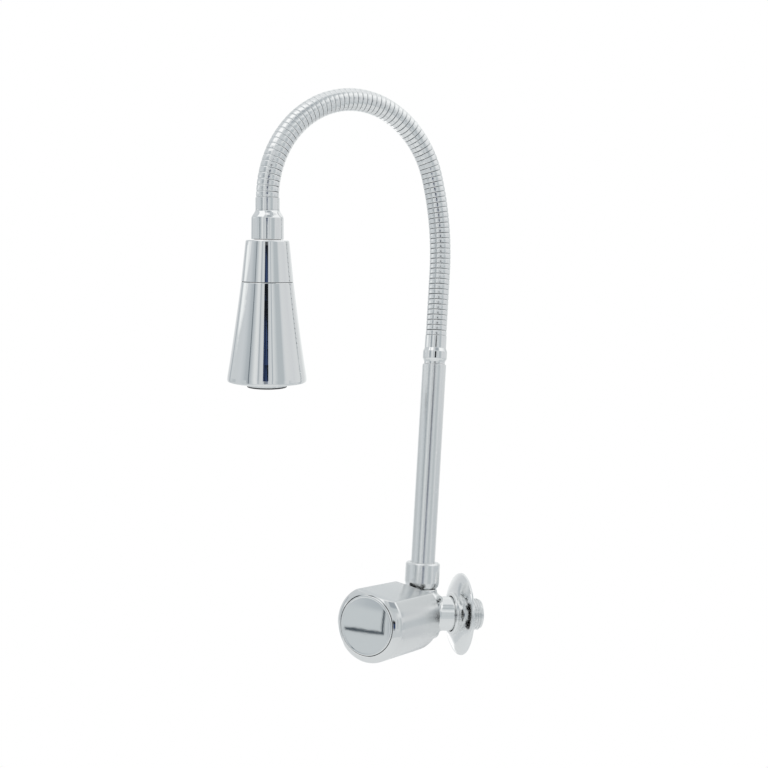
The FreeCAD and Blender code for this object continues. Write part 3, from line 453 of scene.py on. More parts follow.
def casting_distance(points):
    """Distance to the cast body, in millimetres from the riser's axis: its
    core, riser boss, neck and cartridge boss, joined by the mould's fillets."""
    parts = [
        (capped(points, (0, 0, 1), 13.3, -15.3, 13.6, 3.2), 0.0),
        (capped(points, (0, 0, 1), 10.4, 0.0, 16.9, 0.8), 2.2),
        (capped(points, (0, 1, 0), 11.25, 0.0, 26.9, 0.4), 2.6),
        (capped(points - KNOB_LIFT, tuple(KNOB_AXIS), 13.1, 0.0, 32.9, 0.5), 3.0),
    ]
    total = parts[0][0]
    for distance, fillet in parts[1:]:
        share = np.maximum(fillet - np.abs(total - distance), 0) / fillet
        total = np.minimum(total, distance) - share * share * fillet / 4
    return total


def build_casting():
    """Body casting: a coarse hull, remeshed and then set on the exact shape."""
    voxel, probe, passes, hull_sides, sharp = 0.42, 0.02, 8, 64, 50
    # cylinders a little outside the casting: axis, radius and both ends
    work = bmesh.new()
    for axis, radius, low, high in (
            ((0, 0, 1), 13.6, -15.6, 14.0), ((0, 0, 1), 10.8, 13.0, 17.2),
            ((0, 1, 0), 11.5, 0.0, 27.2), (tuple(KNOB_AXIS), 13.4, 0.0, 33.2)):
        turn = Vector((0, 0, 1)).rotation_difference(Vector(axis)).to_matrix().to_4x4()
        middle = Vector(axis) * (low + high) / 2
        bmesh.ops.create_cone(
            work, cap_ends=True, segments=hull_sides, radius1=radius, radius2=radius,
            depth=high - low, matrix=Matrix.Translation(middle) @ turn)
    hull = bpy.data.meshes.new("casting_hull")
    work.to_mesh(hull)
    work.free()
    holder = add_object("casting_hull", hull)
    remesh = holder.modifiers.new("hull", "REMESH")
    remesh.mode = "VOXEL"
    remesh.voxel_size = voxel
    skin = bpy.data.meshes.new_from_object(
        holder.evaluated_get(bpy.context.evaluated_depsgraph_get()))
    bpy.data.objects.remove(holder)
    points = np.zeros(len(skin.vertices) * 3)
    skin.vertices.foreach_get("co", points)
    points = points.reshape(-1, 3)
    for _ in range(passes):
        here = casting_distance(points)
        slope = np.stack([
            casting_distance(points + offset) - casting_distance(points - offset)
            for offset in np.eye(3) * probe], 1) / (2 * probe)
        slope /= np.maximum(np.linalg.norm(slope, axis=1, keepdims=True), 1e-6)
        points -= slope * here[:, None]
    skin.vertices.foreach_set("co", points.astype(np.float32).ravel())
    body = dress_mesh("body_casting", skin, Matrix.Translation(SWIVEL), sharp)
    settle(body, "chromed_brass", "wall_body", "valve_body")


def build_inlet_thread():
    """Half-inch pipe thread behind the flange, cut as a true helix."""
    pitch, crest, root, bore = 1.814, 10.45, 9.35, 5.2
    low, high, run_out = -12.9, 1.9, 1.6
    sides, steps, sharp = 72, 12, 60
    rows = int((high - low) / pitch * steps)
    rings = [circle(bore, low, sides)]
    for row in range(rows + 1):
        height = low + (high - low) * row / rows
        ring = []
        for side in range(sides):
            turn = side / sides
            phase = (height / pitch - turn) % 1.0
            vee = abs(phase * 2 - 1)
            fade = ease((height - low) / run_out)
            radius = root + (crest - root) * ease(vee) * fade
            ring.append((radius * math.cos(turn * 2 * math.pi),
                         radius * math.sin(turn * 2 * math.pi), height))
        rings.append(ring)
    rings.append(circle(bore, high, sides))
    settle(solid("inlet_thread", WALL, rings, sharp=sharp), "chromed_brass", "wall_body",
           "valve_body")


# Nut, riser and lower ferrule

def build_riser():
    nut = rounded([
        (9.6, 17.25), (10.1, 17.25, 0.3), (11.1, 18.6, 1.2), (11.5, 21.0, 2.0),
        (11.5, 34.0, 2.7), (8.25, 34.0, 0.35), (8.25, 30.2), (9.6, 30.2)])
    settle(lathe("foot_nut", RISER, nut), "chromed_brass", "wall_body", "spout_nut",
           look=NUT_FINISH)
    pipe = rounded([
        (5.55, 14.55), (7.95, 14.55, 0.4), (8.0, 27.0), (8.0, 166.75, 0.9), (7.1, 166.75, 0.2),
        (7.05, 34.0), (5.55, 31.0)])
    settle(lathe("riser_pipe", RISER, pipe), "chromed_tube", "riser", "riser_tube")
    ferrule = rounded([
        (3.4, 155.0), (6.9, 155.0), (6.9, 166.9, 0.1), (7.1, 166.9, 0.2), (7.08, 168.3, 0.9),
        (7.5, 169.5, 0.9), (8.15, 170.6, 1.1), (8.2, 175.4, 1.8), (7.3, 177.7, 1.0),
        (7.28, 184.6, 0.1), (7.28, 186.15, 0.25), (3.4, 186.15)])
    settle(lathe("hose_foot_ferrule", RISER, ferrule), "chromed_tube", "riser", "hose_ferrule",
           look=FINISHES["chromed_brass"])


# Spray head

def cone_outline(low, high, radii):
    """Points down a cone's side through (height, radius) measurements."""
    known, values = zip(*radii)
    steps = 12
    heights = [low + (high - low) * step / steps for step in range(steps + 1)]
    return [(float(np.interp(height, known, values)), height) for height in heights]


def build_head():
    ferrule = rounded([
        (3.4, 0.05), (7.42, 0.05, 0.3), (7.42, 7.3, 0.04), (7.0, 7.32), (3.4, 7.32)])
    settle(lathe("head_sleeve", HEAD, ferrule), "chromed_tube", "head", "head_ferrule",
           look=FINISHES["chromed_brass"])

    # the collar swells out of the ferrule in an S curve
    throat, swell, start, length, steps = 7.43, 2.5, 7.36, 5.5, 24
    side = [(throat + swell * ease(step / steps), start + length * step / steps)
            for step in range(steps + 1)]
    collar = rounded([
        (6.2, 7.34), (7.4, 7.34), *side, (10.03, 25.4, 0.35), (8.3, 25.65), (6.2, 13.4)])
    settle(lathe("collar_nut", HEAD, collar), "chromed_brass", "head", "head_collar")

    upper = rounded([
        (8.3, 25.95), (13.3, 25.95, 1.0), (13.75, 29.2), (16.12, 51.38, 0.07), (14.5, 51.38),
        (12.0, 28.6), (8.3, 28.6)])
    settle(lathe("upper_cone", HEAD, upper), "chromed_shell", "head", "head_upper_shell")

    # dark ring filling the seam between the two shells: painted shade standing in for the shadow inside the gap
    washer = [(14.7, 51.42), (15.75, 51.42), (15.75, 51.71), (14.7, 51.71)]
    settle(lathe("slip_washer", HEAD, washer), "dark_plastic", "head")

    flare = cone_outline(52.6, 110.6, [(51.7, 16.15), (63.9, 17.75), (76.3, 19.5), (88.9, 21.3),
                                       (101.4, 23.2), (110.6, 24.72)])
    lower = rounded([
        (9.0, 51.75), (16.05, 51.75, 0.1), (16.2, 52.05, 0.2), *flare, (24.9, 112.6, 1.2),
        (24.7, 114.05, 1.2), (23.25, 114.05, 0.2), (23.25, 109.4), (14.6, 54.7), (9.0, 54.7)])
    settle(lathe("turning_cone", HEAD, lower, sides=FINE_SIDES), "chromed_shell", "jet_shell",
           "head_lower_shell")

    nozzle = rounded([
        (10.55, 105.0), (12.65, 105.0), (12.65, 116.75, 0.25), (10.55, 116.75)])
    settle(lathe("nozzle_tip", HEAD, nozzle), "chromed_shell", "jet_shell", "nozzle_ring")
    lip = rounded([(10.6, 116.8), (12.55, 116.8, 0.1), (12.4, 117.62, 0.3), (10.6, 117.62, 0.2)])
    settle(lathe("nozzle_lip", HEAD, lip), "dark_plastic", "jet_shell")


# Knob

KNOB_RADIUS = 23.1
KNOB_FLAT = 18.5
KNOB_REAR = 16.05
# How softly the round side runs into the flat, in millimetres
FLAT_SOFTNESS = 0.16


def knob_section(radius, flat, height):
    """D-shaped section of the knob: a circle that runs softly into the flat,
    with its points close together at the flat's two edges."""
    cut = math.asin(flat / radius)
    across, round_off, rest, near = 28, 12, 140, math.radians(4)
    turns = []
    for first, last, count in (
            (cut + near, math.pi - cut - near, across),
            (math.pi - cut - near, math.pi - cut + near, round_off),
            (math.pi - cut + near, math.tau + cut - near, rest),
            (cut - near, cut + near, round_off)):
        turns.extend(first + (last - first) * step / count for step in range(count))
    points = []
    for turn in turns:
        x, y = radius * math.cos(turn), radius * math.sin(turn)
        over = float(np.logaddexp(0, (y - flat) / FLAT_SOFTNESS))
        points.append((x, y - FLAT_SOFTNESS * over, height))
    return points


def knob_circle(radius, height):
    """Circle with its points in the same directions as the knob's section."""
    turns = [math.atan2(y, x) for x, y, _ in knob_section(KNOB_RADIUS, KNOB_FLAT, 0)]
    return [(radius * math.cos(t), radius * math.sin(t), height) for t in turns]


def build_knob():
    """Knob turned round with a domed front edge, then milled flat on top."""
    web, floor, bore, screw_hole = 61.9, 64.9, 18.42, 2.2
    lip, lip_height = bore + 0.2, 69.45
    rings = [knob_circle(screw_hole, web), knob_circle(screw_hole, floor),
             knob_circle(bore - 0.3, floor), knob_circle(bore, floor + 0.3),
             knob_circle(bore, 69.2), knob_circle(bore + 0.05, 69.37),
             knob_circle(lip, lip_height)]
    # the front falls from the lip, ever more steeply, to a tight rounding
    land, slope, steepening, land_steps, edge_steps = 3.93, 0.5, 0.29, 36, 14
    turn = math.atan(slope + 2 * steepening)
    for step in range(1, land_steps + 1):
        share = step / land_steps
        height = lip_height - land * (slope * share + steepening * share ** 2)
        rings.append(knob_section(lip + land * share, KNOB_FLAT, height))
    edge = (KNOB_RADIUS - lip - land) / (1 - math.sin(turn))
    low = height - edge * math.cos(turn)
    for step in range(1, edge_steps + 1):
        angle = turn + (math.pi / 2 - turn) * step / edge_steps
        rings.append(knob_section(KNOB_RADIUS - edge + edge * math.sin(angle), KNOB_FLAT,
                                  low + edge * math.cos(angle)))
    for inset, height in (
            (0.0, low - SUPPORT), (0.0, KNOB_REAR + 0.8),
            (0.08, KNOB_REAR + 0.3), (0.4, KNOB_REAR), (2.3, KNOB_REAR),
            (2.5, KNOB_REAR + 0.2), (2.5, web)):
        rings.append(knob_section(KNOB_RADIUS - inset, KNOB_FLAT - inset, height))
    hub, hub_bore, hub_end = 9.75, 7.0, 45.2
    for radius, height in ((hub, web), (hub, hub_end), (hub_bore, hub_end), (hub_bore, web)):
        rings.append(knob_circle(radius, height))
    settle(solid("knob_body", KNOB, rings), "chromed_knob", "knob", "knob_shell")

    pillow = []
    reach, top, fall, steps = 16.6, 70.68, 0.62, 16
    for step in range(steps + 1):
        radius = reach * (1 - step / steps)
        pillow.append((radius, top - fall * (radius / reach) ** 2))
    cover = rounded([
        (0, 68.3), (16.2, 68.3), (16.2, 65.0), (18.2, 65.0), (18.25, 69.2, 1.0),
        (17.9, 70.15, 0.6), (17.2, 70.2, 0.25), *pillow], closed=False)
    settle(lathe("knob_cover", KNOB, cover, closed=False, sides=FINE_SIDES), "chromed_knob",
           "knob", "knob_cap", look=CAP_FINISH)


# Banded gooseneck

HOSE_START = 186.2
# Straight run in millimetres, then three bends as (degrees, radius)
HOSE_RUNS = ((43.2, 0.0), (20.5, 182.0), (70.9, 58.1), (96.7, 64.2))


def run_length(run, radius):
    return run if radius == 0.0 else radius * math.radians(run)


HOSE_LENGTH = sum(run_length(run, radius) for run, radius in HOSE_RUNS)
HOSE_LINKS = 10
HOSE_BANDS = 83
# Outside of a band, depth of the groove between two and the gap's width
HOSE_RADIUS = 7.08
GROOVE_DEPTH = 0.34
BAND_GAP = 0.4
# Largest random tilt of a band, in radians, and the seed of the draws
BAND_WOBBLE = 0.006
BAND_SEED = 4
# Edges of a band sharper than this many degrees stay sharp
BAND_SHARP = 38
# Distance inside the middles of a hinge's two links at which its span's end points are taken
BLEND_MARGIN = 1.0
# Where the gooseneck starts to lean out of its upright plane, and how far
LEAN_FROM = 0.6 * HOSE_LENGTH
LEAN = math.radians(7.65)


def hose_point(distance):
    """Point on the gooseneck's centre line, in metres.  Past the sixth link
    the head's side leans out of the upright plane, away from the knob."""
    point, _ = upright_point(distance)
    if distance > LEAN_FROM:
        pivot, along = upright_point(LEAN_FROM)
        point = pivot + Matrix.Rotation(-LEAN, 3, along) @ (point - pivot)
    return point


def upright_point(distance):
    """Point and direction before the lean."""
    forward, height, angle, left = 0.0, HOSE_START, 0.0, distance
    for run, radius in HOSE_RUNS:
        step = min(left, run_length(run, radius))
        if radius == 0.0:
            height += step
        else:
            turned = step / radius
            forward += radius * (math.cos(angle) - math.cos(angle + turned))
            height += radius * (math.sin(angle + turned) - math.sin(angle))
            angle += turned
        left -= step
    point = SWIVEL + AHEAD * forward * MM + UP * height * MM
    return point, AHEAD * math.sin(angle) + UP * math.cos(angle)


def hose_tree():
    """Geometry Nodes: repeat one band along a straight line, wobble it a
    little, then bend the whole row along the gooseneck's centre line."""
    tree = bpy.data.node_groups.new("bands_along_centre_line", "GeometryNodeTree")
    ports = tree.interface
    ports.new_socket("Geometry", in_out="INPUT", socket_type="NodeSocketGeometry")
    for label, kind in (("First band", "NodeSocketInt"), ("Bands", "NodeSocketInt"),
                        ("Pitch mm", "NodeSocketFloat"), ("Wobble", "NodeSocketFloat"),
                        ("Centre line", "NodeSocketObject"), ("Bend axis", "NodeSocketVector"),
                        ("Finish", "NodeSocketMaterial")):
        ports.new_socket(label, in_out="INPUT", socket_type=kind)
    ports.new_socket("Geometry", in_out="OUTPUT", socket_type="NodeSocketGeometry")
    given = add_node(tree, "NodeGroupInput").outputs
    first = add_node(tree, "ShaderNodeMath", {0: given["First band"], 1: given["Pitch mm"]},
                     operation="MULTIPLY").outputs["Value"]
    start = add_node(tree, "ShaderNodeCombineXYZ", {"Z": first}).outputs["Vector"]
    spacing = add_node(tree, "ShaderNodeCombineXYZ", {"Z": given["Pitch mm"]}).outputs["Vector"]
    row = add_node(tree, "GeometryNodeMeshLine", {
        "Count": given["Bands"], "Start Location": start, "Offset": spacing}).outputs["Mesh"]
    number = add_node(tree, "GeometryNodeInputIndex").outputs["Index"]
    absolute = add_node(tree, "ShaderNodeMath", {0: number, 1: given["First band"]},
                        operation="ADD").outputs["Value"]
    lean = add_node(tree, "FunctionNodeRandomValue", {
        0: (-1, -1, -1), 1: (1, 1, 1), "ID": absolute, "Seed": BAND_SEED},
        data_type="FLOAT_VECTOR")
    lean = add_node(tree, "ShaderNodeVectorMath", {
        0: lean.outputs[0], "Scale": given["Wobble"]}, operation="SCALE").outputs["Vector"]
    bands = add_node(tree, "GeometryNodeInstanceOnPoints", {
        "Points": row, "Instance": given["Geometry"], "Rotation": lean}).outputs["Instances"]
    plain = add_node(tree, "GeometryNodeRealizeInstances", {"Geometry": bands})
    position = add_node(tree, "GeometryNodeInputPosition").outputs["Position"]
    kept = add_node(tree, "GeometryNodeStoreNamedAttribute", {
        "Geometry": plain.outputs["Geometry"], "Name": "part_place", "Value": position},
        data_type="FLOAT_VECTOR", domain="POINT").outputs["Geometry"]
    axes = add_node(tree, "ShaderNodeSeparateXYZ", {"Vector": position}).outputs
    line = add_node(tree, "GeometryNodeObjectInfo", {"Object": given["Centre line"]},
                    transform_space="ORIGINAL").outputs["Geometry"]
    along = add_node(tree, "ShaderNodeMath", {0: axes["Z"], 1: MM},
                     operation="MULTIPLY").outputs["Value"]
    sample = add_node(tree, "GeometryNodeSampleCurve", {"Curves": line, "Length": along},
                      mode="LENGTH", use_all_curves=True)
    above = add_node(tree, "ShaderNodeVectorMath", {
        0: sample.outputs["Tangent"], 1: given["Bend axis"]},
        operation="CROSS_PRODUCT").outputs["Vector"]
    above = add_node(tree, "ShaderNodeVectorMath", {0: above},
                     operation="NORMALIZE").outputs["Vector"]
    beside = add_node(tree, "ShaderNodeVectorMath", {
        0: above, 1: sample.outputs["Tangent"]}, operation="CROSS_PRODUCT").outputs["Vector"]
    total = sample.outputs["Position"]
    for direction, amount in ((beside, axes["X"]), (above, axes["Y"])):
        scaled = add_node(tree, "ShaderNodeMath", {0: amount, 1: MM},
                          operation="MULTIPLY").outputs["Value"]
        part = add_node(tree, "ShaderNodeVectorMath", {0: direction, "Scale": scaled},
                        operation="SCALE").outputs["Vector"]
        total = add_node(tree, "ShaderNodeVectorMath", {0: total, 1: part}).outputs["Vector"]
    bent = add_node(tree, "GeometryNodeSetPosition", {"Geometry": kept, "Position": total})
    coloured = add_node(tree, "GeometryNodeSetMaterial", {
        "Geometry": bent.outputs["Geometry"], "Material": given["Finish"]})
    add_node(tree, "NodeGroupOutput", {"Geometry": coloured.outputs["Geometry"]})
    return tree


def ring_mesh(name, outline, sides, crest, floor):
    """Closed ring in millimetres along Z, whose attribute groove grows from 0 at the radius crest to 1 at the
    radius floor; the hose's finish paints shade by it."""
    vertices, faces = [], []
    count = len(outline)
    for radius, height in outline:
        vertices.extend(circle(radius, height, sides))
    for ring in range(count):
        for side in range(sides):
            following = (side + 1) % sides
            nxt = (ring + 1) % count
            faces.append((ring * sides + side, ring * sides + following,
                          nxt * sides + following, nxt * sides + side))
    mesh = bpy.data.meshes.new(name)
    mesh.from_pydata(vertices, [], faces)
    face_outward(mesh)
    mesh.shade_smooth()
    values = []
    for radius, _ in outline:
        values.extend([ease((crest - radius) / (crest - floor))] * sides)
    mesh.attributes.new("groove", "FLOAT", "POINT").data.foreach_set("value", values)
    return mesh


def build_hose():
    """Bands and the liner under them, made by the node tree one hinge at a time."""
    pitch = HOSE_LENGTH / HOSE_BANDS
    path = bpy.data.curves.new("centre_line", "CURVE")
    path.dimensions = "3D"
    spline = path.splines.new("POLY")
    stations = int(HOSE_LENGTH * 2)  # two to the millimetre
    spline.points.add(stations)
    for number in range(stations + 1):
        point = hose_point(HOSE_LENGTH * number / stations)
        spline.points[number].co = (*point, 1.0)
    line = add_object("centre_line", path)
    tree = hose_tree()
    ports = {item.name: item.identifier for item in tree.interface.items_tree
             if item.in_out == "INPUT"}
    crest, floor = HOSE_RADIUS, HOSE_RADIUS - GROOVE_DEPTH
    low, high = BAND_GAP / 2, pitch - BAND_GAP / 2
    band = rounded([
        (floor, low), (crest - 0.14, low, 0.1), (crest - 0.02, low + 0.35, 0.2),
        (crest, pitch * 0.5, 2.0), (crest - 0.06, high - 0.25, 0.25),
        (crest - 0.22, high, 0.1), (floor, high)])
    inner, outer = floor - 0.5, floor + 0.04
    liner = [(inner, 0.0), (outer, 0.0), (outer, pitch), (inner, pitch)]
    bends = ["lower_bend_%d" % n for n in range(1, 5)]
    bends += ["upper_bend_%d" % n for n in range(1, 6)]
    # a hinge's piece has the bands between the middles of its two links
    link = HOSE_LENGTH / HOSE_LINKS
    edges = [round((n + 0.5) * link / pitch) for n in range(1, HOSE_LINKS - 1)]
    edges = [0, *edges, HOSE_BANDS]
    finish = "chromed_steel_strip"
    for number, bend in enumerate(bends):
        first, following = edges[number], edges[number + 1]
        start = hose_point((number + 0.5) * link + BLEND_MARGIN)
        end = hose_point((number + 1.5) * link - BLEND_MARGIN)
        bend_axis = tuple(joints[bend]["axis"])
        # bare is where a piece's painted gap shade begins; the liner lies wholly in it
        for label, outline, sides, bare, wobble in (
                ("hose_bands", band, 64, crest - 0.2, BAND_WOBBLE),
                ("hose_liner", liner, 40, floor + 1.0, 0.0)):
            maker = add_object(label, ring_mesh(label, outline, sides, bare, floor))
            modifier = maker.modifiers.new("bands", "NODES")
            modifier.node_group = tree
            for key, value in (
                    ("First band", first), ("Bands", following - first), ("Pitch mm", pitch),
                    ("Wobble", wobble), ("Centre line", line), ("Bend axis", bend_axis),
                    ("Finish", FINISHES[finish])):
                modifier[ports[key]] = value
            made = bpy.data.meshes.new_from_object(
                maker.evaluated_get(bpy.context.evaluated_depsgraph_get()))
            bpy.data.objects.remove(maker)
            made.name = label
            made.shade_smooth()
            made.set_sharp_from_angle(angle=math.radians(BAND_SHARP))
            piece = add_object("%s_%d" % (label, number + 1), made)
            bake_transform(piece)
            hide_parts("hose_link_%02d" % (number + 1), "hose_link_%02d" % (number + 2))
    bpy.data.objects.remove(line)


# Carried-over parts

def finish_nodes():
    """Every node of the model that still shows gets its finish."""
    for part in frame["record"]["subparts"]:
        node = frame["nodes"][part["node"]]
        node.data.materials.clear()
        node.data.materials.append(FINISHES[part["material_slot"]])


# Studio

# What the chrome sees round the horizon: degrees from the camera, counted
# towards the wall, and the grey that it takes there.
STUDIO_WALLS = (
    (-180, "#E6E8E8"), (-164, "#E2E4E4"), (-152, "#D8DADB"), (-140, "#C8CACC"),
    (-118, "#C4C8CA"), (-100, "#C2C6C8"), (-76, "#C3C7CA"), (-64, "#B9BEC1"),
    (-56, "#ACB2B6"), (-50, "#A7ADB1"), (-42, "#A9AFB3"), (-35, "#C1C5C7"),
    (-28, "#D7D9D9"), (-22, "#D5D7D8"), (-16, "#BCC0C3"), (-9, "#C9CCCD"),
    (16, "#C1C5C8"), (21, "#CACDCE"), (30, "#CBCECF"), (37, "#BCC1C3"),
    (42, "#AFB5B8"), (58, "#AEB4B7"), (64, "#C8CBCD"), (70, "#CED0D1"),
    (95, "#CACCCE"), (112, "#CFD1D2"), (140, "#CCCECF"), (152, "#D6D8D8"),
    (166, "#E0E2E2"), (180, "#E6E8E8"))

# Screens, gaps and lamps in front of those walls.  Each is its middle and
# half width round the horizon, its lower and upper edge above it, how soft
# its edge is, all in degrees, and its grey.
STUDIO_CARDS = (
    # tent overhead and its brighter and duller panels
    (0, 180, 55, 90, 10, "#DDDFE0"),
    (-50, 27, 30, 60, 9, "#F8F8F8"),
    (-34, 42, 58, 74, 5, "#FAFAFA"),
    (92, 44, 31, 54, 7, "#F0F1F1"),
    (72, 44, 17, 34, 8, "#DDDFE0"),
    (14, 24, 26, 36, 7, "#BCC1C3"),
    (18, 17, 36, 55, 5, "#9BA1A6"),
    (46, 20, 52, 68, 6, "#B4B9BC"),
    (-124, 30, 32, 62, 9, "#C9CCCE"),
    (172, 40, 24, 52, 8, "#E4E6E6"),
    # floor sweep, with its shaded corners, a bright patch and the pale board
    # that the knob's cap mirrors
    (0, 180, -90, -14, 8, "#C2C6C8"),
    (76, 42, -75, -28, 8, "#ACB2B5"),
    (104, 12, -46, -35, 4, "#8F9699"),
    (0, 46, -72, -48, 7, "#D2D4D5"),
    (-157, 11, -38, -12, 4, "#FFFFFF"),
    (-60, 11, -40, -5.0, 2, "#BEC3C5"),
    (24, 12, -46, -27, 4, "#949A9E"),
    # lower part of the side walls
    (-113, 20, -10, -0.5, 2.5, "#B4B9BC"),
    (104, 28, -11, 0.5, 2.5, "#B8BDC0"),
    (150, 24, -36, -13, 4, "#C1C4C6"),
    # duller patches above the horizon, behind the faucet
    (140, 14, 14, 30, 3, "#C6C9CA"),
    (180, 9, 9, 24, 2, "#C4C8CA"),
    # seams between the tent's panels
    (-126, 3.5, -2, 16, 1.5, "#A6ACB0"),
    (-46, 1.8, -14, 14, 1.2, "#6C747A"),
    (-16.5, 1.6, -12, 8, 1.0, "#A7ADB1"),
    (25, 1.8, -8, 12, 1.0, "#A9AFB3"),
    (125, 3.0, 8, 16, 1.5, "#BABEC1"),
    # bright patches just above the horizon
    (-95, 14, 4.4, 12, 0.8, "#DBDDDE"),
    (-104, 9, 5.0, 9.5, 0.9, "#EAECEC"),
    # ledge of the bench and the post beside it, mirrored in the knob's cap
    (-59.2, 8.4, -12.9, -11.9, 0.7, "#323C44"),
    (-51.2, 0.5, -12.7, -4.4, 0.8, "#323C44"),
)

# Dark gap between the curtains beside the camera, in degrees: its middle and
# half width round the horizon, how soft its sides are, and the heights over
# which its foot and its top fade
CURTAIN_GAP = (5, 7.5)
GAP_SOFTNESS = 0.8
GAP_FOOT = (-8.8, -7.6)
GAP_TOP = (9.0, 4.0)
# Below its foot it goes on faintly, half as wide
FAINT_SOFTNESS = 1.0
FAINT_FOOT = (-13.0, -11.0)
FAINT_TOP = (-7.5, -9.0)
# Its cloth is bluer below these heights, where the noise passes these values
BLUE_BELOW = (2.2, 0.4)
BLUE_NOISE = (0.31415927, 0.62831853)
# Range over which the edges of the studio's screens wander, in radians
WANDER = 0.05
# Chrome gives back about five sixths of the light, so the studio is lighter
STUDIO_LIFT = 1.2
# Light from all sides on everything that isn't a mirror
FILL_STRENGTH = 0.85


def build_world():
    """Studio round the faucet: what the chrome mirrors, a plain fill for the
    rest, and white behind."""
    world = bpy.data.worlds.new("studio")
    bpy.context.scene.world = world
    world.use_nodes = True
    tree = world.node_tree
    tree.nodes.clear()

    def maths(operation, *values):
        return add_node(tree, "ShaderNodeMath", dict(enumerate(values)),
                        operation=operation).outputs["Value"]

    def ramp(angle, low, high):
        """Smooth rise of an angle between two values in degrees."""
        return smooth_range(tree, angle, math.radians(low), math.radians(high))

    ray = add_node(tree, "ShaderNodeTexCoord").outputs["Generated"]
    axes = add_node(tree, "ShaderNodeSeparateXYZ", {"Vector": ray}).outputs
    height = maths("ARCSINE", axes["Z"])
    towards = math.atan2(CAMERA_PLACE[1] - SWIVEL.y, CAMERA_PLACE[0])
    wander = noise(tree, ray, scale=5.0, detail=1.0)
    wander = maths("MULTIPLY", maths("SUBTRACT", wander, 0.5), WANDER)
    turn = maths("ADD", maths("ARCTAN2", axes["Y"], axes["X"]), wander)
    turn = maths("SUBTRACT", turn, towards)
    share = maths("WRAP", maths("ADD", maths("DIVIDE", turn, math.tau), 0.5), 1.0, 0.0)
    walls = add_node(tree, "ShaderNodeValToRGB", {"Fac": share})
    stops = walls.color_ramp.elements
    for number, (degrees, grey) in enumerate(STUDIO_WALLS):
        spot = (degrees + 180) / 360
        stop = stops[number] if number < 2 else stops.new(spot)
        stop.position = spot
        stop.color = linear(grey)
    seen = walls.outputs["Color"]
    for middle, half, low, high, soft, grey in STUDIO_CARDS:
        off = maths("WRAP", maths("SUBTRACT", turn, math.radians(middle)), math.pi, -math.pi)
        across = ramp(maths("ABSOLUTE", off), half + soft / 2, half - soft / 2)
        above = ramp(height, low - soft / 2, low + soft / 2)
        below = ramp(height, high + soft / 2, high - soft / 2)
        inside = maths("MULTIPLY", maths("MULTIPLY", above, below), across)
        seen = blend_colours(tree, inside, seen, linear(grey))

    # the curtain gap
    middle, half = CURTAIN_GAP
    off = maths("ABSOLUTE", maths("SUBTRACT", turn, math.radians(middle)))
    strong = maths("MULTIPLY", ramp(off, half + GAP_SOFTNESS, half - GAP_SOFTNESS), maths(
        "MULTIPLY", ramp(height, *GAP_FOOT), ramp(height, *GAP_TOP)))
    half = half / 2
    faint = maths("MULTIPLY", ramp(off, half + FAINT_SOFTNESS, half - FAINT_SOFTNESS), maths(
        "MULTIPLY", ramp(height, *FAINT_FOOT), ramp(height, *FAINT_TOP)))
    cloth = maths("MULTIPLY", noise(tree, ray, scale=22.0), ramp(height, *BLUE_BELOW))
    blue = smooth_range(tree, cloth, *BLUE_NOISE)
    curtain = blend_colours(tree, blue, linear("#14171C"), linear("#37486E"))
    seen = blend_colours(tree, faint, seen, linear("#70777C"))
    seen = blend_colours(tree, strong, seen, curtain)
    lifted = add_node(tree, "ShaderNodeVectorMath", {0: seen, "Scale": STUDIO_LIFT},
                      operation="SCALE")

    reflected = add_node(tree, "ShaderNodeBackground", {
        "Color": lifted.outputs["Vector"], "Strength": 1.0})
    white = add_node(tree, "ShaderNodeBackground", {"Color": (1, 1, 1, 1), "Strength": 1.0})
    fill = add_node(tree, "ShaderNodeBackground", {
        "Color": linear("#F4F6F7"), "Strength": FILL_STRENGTH})
    path = add_node(tree, "ShaderNodeLightPath").outputs
    lit = add_node(tree, "ShaderNodeMixShader", {
        0: path["Is Glossy Ray"], 1: fill.outputs[0], 2: reflected.outputs[0]})
    open_ray = maths("MAXIMUM", path["Is Camera Ray"], path["Is Transmission Ray"])
    out = add_node(tree, "ShaderNodeMixShader", {0: open_ray, 1: lit.outputs[0],
                                                 2: white.outputs[0]})
    add_node(tree, "ShaderNodeOutputWorld", {"Surface": out.outputs[0]})


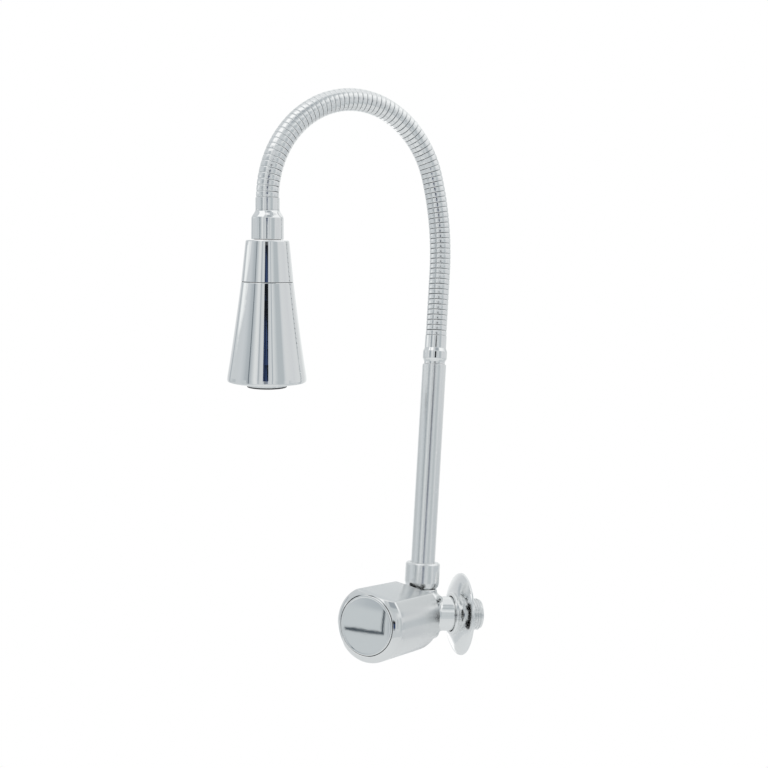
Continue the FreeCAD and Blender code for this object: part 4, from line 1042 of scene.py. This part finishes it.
def build_floor():
    """Pale floor far below the wall outlet, white to the camera."""
    radius, height, sides = 1.3, -0.6, 96
    mesh = bpy.data.meshes.new("floor")
    mesh.from_pydata(circle(radius, height, sides), [], [tuple(range(sides))])
    floor = add_object("floor", mesh)
    finish, tree = new_finish("pale_painted_floor")
    speck = noise(tree, add_node(tree, "ShaderNodeTexCoord").outputs["Object"], scale=40.0)
    paint = blend_colours(tree, speck, linear("#F1F2F2"), linear("#F6F7F7"))
    # the camera sees a glow that whitens it and leaves only a faint shadow
    full = add_node(tree, "ShaderNodeBsdfDiffuse", {"Color": paint})
    part = add_node(tree, "ShaderNodeBsdfDiffuse", {"Color": (0.3, 0.3, 0.3, 1)})
    glow = add_node(tree, "ShaderNodeEmission", {"Color": (1, 1, 1, 1), "Strength": 0.78})
    shown = add_node(tree, "ShaderNodeAddShader", {0: part.outputs[0], 1: glow.outputs[0]})
    path = add_node(tree, "ShaderNodeLightPath").outputs
    mixed = add_node(tree, "ShaderNodeMixShader", {
        0: path["Is Camera Ray"], 1: full.outputs[0], 2: shown.outputs[0]})
    add_node(tree, "ShaderNodeOutputMaterial", {"Surface": mixed.outputs[0]})
    mesh.materials.append(finish)


def build_light():
    """Soft lamp above the camera, which the chrome doesn't mirror."""
    lamp = bpy.data.lights.new("softbox", "AREA")
    lamp.shape = "DISK"
    lamp.size = 0.9
    lamp.energy = 5.0
    softbox = add_object("softbox", lamp)
    softbox.location = (0.5, -0.7, 1.3)
    aim = SWIVEL - Vector(softbox.location)
    softbox.rotation_euler = aim.to_track_quat("-Z", "Y").to_euler()
    softbox.visible_glossy = False


def build_camera():
    """Camera that took the photograph."""
    data = bpy.data.cameras.new("camera")
    data.lens = CAMERA_LENS
    data.sensor_width = 36.0
    camera = add_object("camera", data)
    camera.matrix_world = (
        Matrix.Translation(CAMERA_PLACE) @ Matrix.Rotation(CAMERA_AZIMUTH, 4, "Z")
        @ Matrix.Rotation(math.pi / 2 + CAMERA_PITCH, 4, "X")
        @ Matrix.Rotation(CAMERA_ROLL, 4, "Z"))
    bpy.context.scene.camera = camera


build_camera()
build_world()
build_floor()
build_light()
bpy.context.scene.view_settings.view_transform = "Standard"

finish_nodes()
build_flange()
build_casting()
build_inlet_thread()
build_riser()
build_hose()
build_head()
build_knob()
